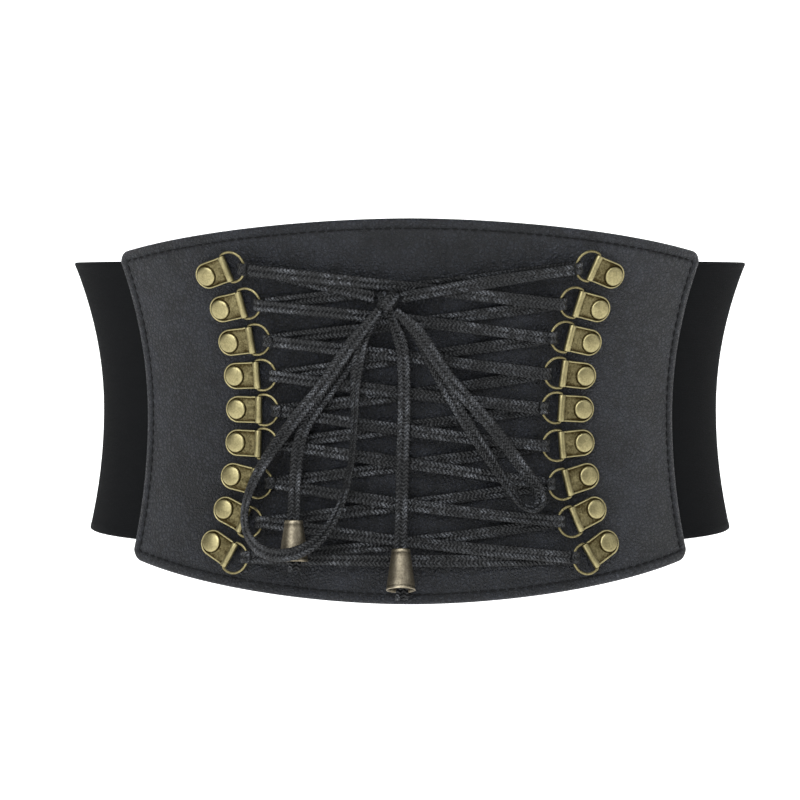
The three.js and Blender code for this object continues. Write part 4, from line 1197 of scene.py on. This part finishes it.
def wrap(centre, heading, lean, reach, depth, width):
    """A turn of the lace round a knot, as a closed band: heading is its direction across the knot's face."""
    steps = 72
    way = np.array([math.cos(heading), 0.0, math.sin(heading)])
    out = unit(np.array([0.0, -1.0, 0.0]) + lean * np.array([-way[2], 0.0, way[0]]))
    turns = 2 * math.pi * np.arange(steps) / steps
    middles = (np.asarray(centre) + reach * np.cos(turns)[:, None] * way
               + depth * np.sin(turns)[:, None] * out)
    facings = unit(np.cos(turns)[:, None] / reach * way + np.sin(turns)[:, None] / depth * out)
    run = unit(np.roll(middles, -1, axis=0) - np.roll(middles, 1, axis=0))
    across = unit(np.cross(run, facings))
    widths = width * (0.86 + 0.14 * np.sin(turns))
    along = np.concatenate([[0], np.cumsum(np.linalg.norm(np.diff(middles, axis=0), axis=1))])
    points, uv, ridge = lace_skin(middles, across, facings, widths, along)
    faces = ring_faces(steps, points.shape[1], close_run=True)
    return points.reshape(-1, 3), faces, uv.reshape(-1, 2), ridge.ravel()


def joined(parts):
    """Several closed skins as one: points, faces, UVs and ridges."""
    points, faces, uvs, ridges = [], [], [], []
    for part_points, part_faces, part_uvs, part_ridge in parts:
        base = sum(len(block) for block in points)
        points.append(part_points)
        faces += [tuple(base + corner for corner in face) for face in part_faces]
        uvs.append(part_uvs)
        ridges.append(part_ridge)
    return np.concatenate(points), faces, np.concatenate(uvs), np.concatenate(ridges)


def tied_piece(name, node_name, parts, origin, axes):
    points, faces, uvs, ridge = joined(parts)
    piece = smooth_mesh(name, placed(points, (origin, *axes)), faces, uvs, {"ridge": ridge})
    return dressed(piece, "lace", lace_material, node_name)


knot_middle, knot_out = over_panel(BOW_ACROSS, BOW_UP, BOW_LIFT)
knot_across = unit(np.cross([0.0, 0.0, 1.0], knot_out))
knot_axes = (knot_across, -knot_out, np.cross(knot_out, knot_across))
KNOT_CORE = (KNOT_WIDTH * 0.98, KNOT_DEPTH * 0.8, KNOT_HEIGHT * 0.86)
tied_piece("bow_knot", "lace_knot", [
    knot_body(KNOT_CORE, 3, 5),
    wrap((0.5, 0, 0.2), math.radians(52), 0.10, KNOT_HEIGHT * 0.46, KNOT_DEPTH * 0.47, 4.9),
    wrap((-1.0, 0.4, -0.4), math.radians(112), -0.12, KNOT_HEIGHT * 0.43, KNOT_DEPTH * 0.38, 4.4),
], knot_middle, knot_axes)

loop_left, path = free_lace("loop_left", "bow_loop_left", LOOP_LEFT_ROUTE, True, 0.05)
loop_right, path = free_lace("loop_right", "bow_loop_right", LOOP_RIGHT_ROUTE, True, 0.05)


# The hanging ends
# Each end of the lace runs through a small bell of antique bronze, spun from sheet with an open mouth and a
# rolled top. A knot in the lace, drawn up into the mouth, keeps the bell from falling off.
BELL_HEIGHT = 17.2
BELL_TOP = 7.6
BELL_MOUTH = 12.3
BELL_WALL = 0.6
END_KNOT_WIDTH = 8.0
END_KNOT_HEIGHT = 6.0
LACE_END_OUT = 4.0
BELL_SIDES = 12
BELL_PROFILE = [(0.0, 0.0, 1.0), (0.015, 0.06, 0.9), (0.05, 0.06, 0.55), (0.075, -0.06, 0.12), (0.1, 0.0, 0.4),
                (0.3, 0.06, 0.5), (0.55, 0.04, 0.5), (0.8, 0.0, 0.5), (0.9, -0.05, 0.15), (0.93, 0.04, 0.6),
                (0.975, 0.06, 0.9), (1.0, -0.12, 1.0)]
BRONZE_BRIGHT = (0.33, 0.285, 0.205, 1.0)
BRONZE_DARK = (0.032, 0.026, 0.018, 1.0)

bronze = antique("antique_bronze", BRONZE_BRIGHT, BRONZE_DARK, 0.5)


def bell_piece(name, node_name, tip, axes):
    """A bell as a turned wall: X and Y across it, Z up its axis from the mouth."""
    sides = 56
    top, mouth = BELL_TOP / 2, BELL_MOUTH / 2
    outer = []
    for share, swell, rubbed in BELL_PROFILE:
        outer.append((share * BELL_HEIGHT, mouth + (top - mouth) * share + swell, rubbed))
    inner = [(z, radius - BELL_WALL, 0.1) for z, radius, _ in outer[::-1] if z not in (outer[1][0],)]
    inner[0] = (outer[-1][0], outer[-1][1] - BELL_WALL * 0.7, 0.6)
    inner[-1] = (0.0, mouth - BELL_WALL * 0.8, 0.5)
    profile = outer + inner
    points, wear = [], []
    for z, radius, rubbed in profile:
        for j in range(sides):
            a = 2 * math.pi * j / sides
            points.append((radius * math.cos(a), radius * math.sin(a), z))
            wear.append(rubbed)
    faces = []
    rings = len(profile)
    for i in range(rings):
        n = (i + 1) % rings
        for j in range(sides):
            k = (j + 1) % sides
            faces.append((i * sides + j, i * sides + k, n * sides + k, n * sides + j))
    piece = smooth_mesh(name, placed(points, (tip, *axes)), faces, None, {"wear": wear})
    return dressed(piece, "bronze", bronze, node_name)


def cut_end(length):
    """The last bit of the lace, from the middle of its knot to its cut end, a little frayed and curled."""
    steps = 16
    down = np.linspace(0, length, steps + 1)
    middles = np.stack([0.5 * np.sin(down * 0.2), -0.06 * down * np.sin(down * 0.12), -down], -1)
    widths = LACE_WIDTH * (0.98 - 0.05 * np.cos(down * 0.9))
    turn = np.radians(-14 * down / length)
    across = np.stack([np.cos(turn), np.sin(turn), np.zeros(steps + 1)], -1)
    facing = np.stack([-np.sin(turn), np.cos(turn), np.zeros(steps + 1)], -1)
    points, uv, ridge = lace_skin(middles, across, facing, widths, down)
    count = points.shape[1]
    points[-1, :, 2] += 0.12 * np.cos(np.arange(count) * 2.4)
    return points.reshape(-1, 3), ring_faces(steps + 1, count), uv.reshape(-1, 2), ridge.ravel()


def hanging_end(side_name, route):
    tail, path = free_lace(f"tail_{side_name}", f"lace_tail_{side_name}", route, False, 0.06)
    above, tip = (over_panel(x, z, lift)[0] for x, z, lift, _ in (route[-3], route[-1]))
    up = unit(above - tip)
    turned = Vector((0, 0, 1)).rotation_difference(Vector(up)).to_matrix()
    axes = tuple(np.array(turned.col[k]) for k in range(3))
    fit = 2 * ((END_KNOT_WIDTH / 2 + GAP) / math.cos(math.pi / BELL_SIDES) + BELL_WALL)
    knot_down = (fit - BELL_TOP) / (BELL_MOUTH - BELL_TOP) * BELL_HEIGHT
    knot_drop = GAP + END_KNOT_HEIGHT / 2
    mouth_drop = knot_drop + BELL_HEIGHT - knot_down
    bell = bell_piece(f"end_bell_{side_name}", f"bell_{side_name}", tip - up * mouth_drop, axes)
    size = (END_KNOT_WIDTH * 0.97, END_KNOT_WIDTH * 0.97, END_KNOT_HEIGHT)
    knot = tied_piece(f"end_tie_{side_name}", f"end_knot_{side_name}",
                      [knot_body(size, 2, 3), cut_end(mouth_drop - knot_drop + LACE_END_OUT)],
                      tip - up * knot_drop, axes)


hanging_end("left", TAIL_LEFT_ROUTE)
hanging_end("centre", TAIL_CENTRE_ROUTE)


# The stage
# A pale seamless floor that curves up behind the belt, four soft lamps (left, right, above and front left),
# and a long lens a little above the belt's middle, as the photograph has it.
CAMERA_DISTANCE = 1.4
CAMERA_HEIGHT_DEGREES = 3.0
FOCAL_LENGTH = 139.4
FRAME_SHIFT_RIGHT = 0.0125
FRAME_SHIFT_UP = -0.0025
FLOOR_HEIGHT = -0.30
LAMP_TINT = (0.94, 0.97, 1.0)


def sweep_floor():
    profile = [(-3.0, 0.0), (0.6, 0.0)]
    profile += [(0.6 + math.sin(math.radians(t)) * 0.8, 0.8 - math.cos(math.radians(t)) * 0.8)
                for t in range(10, 91, 10)]
    profile += [(1.4, 4.0)]
    points, faces = [], []
    for y, z in profile:
        points += [(-4.0, y, FLOOR_HEIGHT + z), (4.0, y, FLOOR_HEIGHT + z)]
    for i in range(len(profile) - 1):
        faces.append((2 * i, 2 * i + 1, 2 * i + 3, 2 * i + 2))
    floor = smooth_mesh("floor", np.array(points) / METRES, faces)
    material, tree, surface = new_material("pale_floor")
    surface.inputs["Base Color"].default_value = (0.93, 0.93, 0.93, 1)
    surface.inputs["Roughness"].default_value = 0.9
    place = node(tree, "ShaderNodeSeparateXYZ", {0: node(tree, "ShaderNodeTexCoord").outputs["Object"]})
    behind_belt = spread(tree, place.outputs[1], 0.15, 0.65, 0.8, 1.0)
    glow = colour_mix(tree, behind_belt, (0, 0, 0, 1), (1, 1, 1, 1))
    tree.links.new(glow, surface.inputs["Emission Color"])
    surface.inputs["Emission Strength"].default_value = 0.85
    floor.data.materials.append(material)


def soft_lamp(name, place, target, size, power, shade=(1, 1, 1)):
    data = bpy.data.lights.new(name, "AREA")
    data.shape = "RECTANGLE"
    data.size, data.size_y = size
    data.energy = power
    data.color = shade
    lamp = bpy.data.objects.new(name, data)
    lamp.location = place
    lamp.rotation_euler = (Vector(target) - Vector(place)).to_track_quat("-Z", "Y").to_euler()
    bpy.context.scene.collection.objects.link(lamp)


sweep_floor()
soft_lamp("lamp_left", (-0.95, -1.15, 0.5), (0, 0, 0), (0.4, 1.1), 6, LAMP_TINT)
soft_lamp("lamp_right", (1.35, -0.8, 0.45), (0, 0, 0), (0.5, 1.2), 3.6, LAMP_TINT)
soft_lamp("lamp_above", (0, -1.05, 1.1), (0, 0, 0), (1.6, 0.7), 15, LAMP_TINT)
soft_lamp("lamp_front", (-0.42, -1.5, 0.55), (0, 0, 0), (0.5, 0.8), 9, LAMP_TINT)

world = bpy.data.worlds.new("studio")
world.use_nodes = True
world.node_tree.nodes["Background"].inputs[0].default_value = (1, 1, 1, 1)
world.node_tree.nodes["Background"].inputs[1].default_value = 0.13
bpy.context.scene.world = world

camera_data = bpy.data.cameras.new("camera")
camera_data.lens = FOCAL_LENGTH
camera_data.sensor_width = 36
camera_data.shift_x = -FRAME_SHIFT_RIGHT
camera_data.shift_y = FRAME_SHIFT_UP
camera = bpy.data.objects.new("camera", camera_data)
tilt = math.radians(CAMERA_HEIGHT_DEGREES)
camera.location = (0, -CAMERA_DISTANCE * math.cos(tilt), CAMERA_DISTANCE * math.sin(tilt))
camera.rotation_euler = (-Vector(camera.location)).to_track_quat("-Z", "Y").to_euler()
bpy.context.scene.collection.objects.link(camera)
bpy.context.scene.camera = camera
bpy.context.scene.view_settings.view_transform = "Standard"
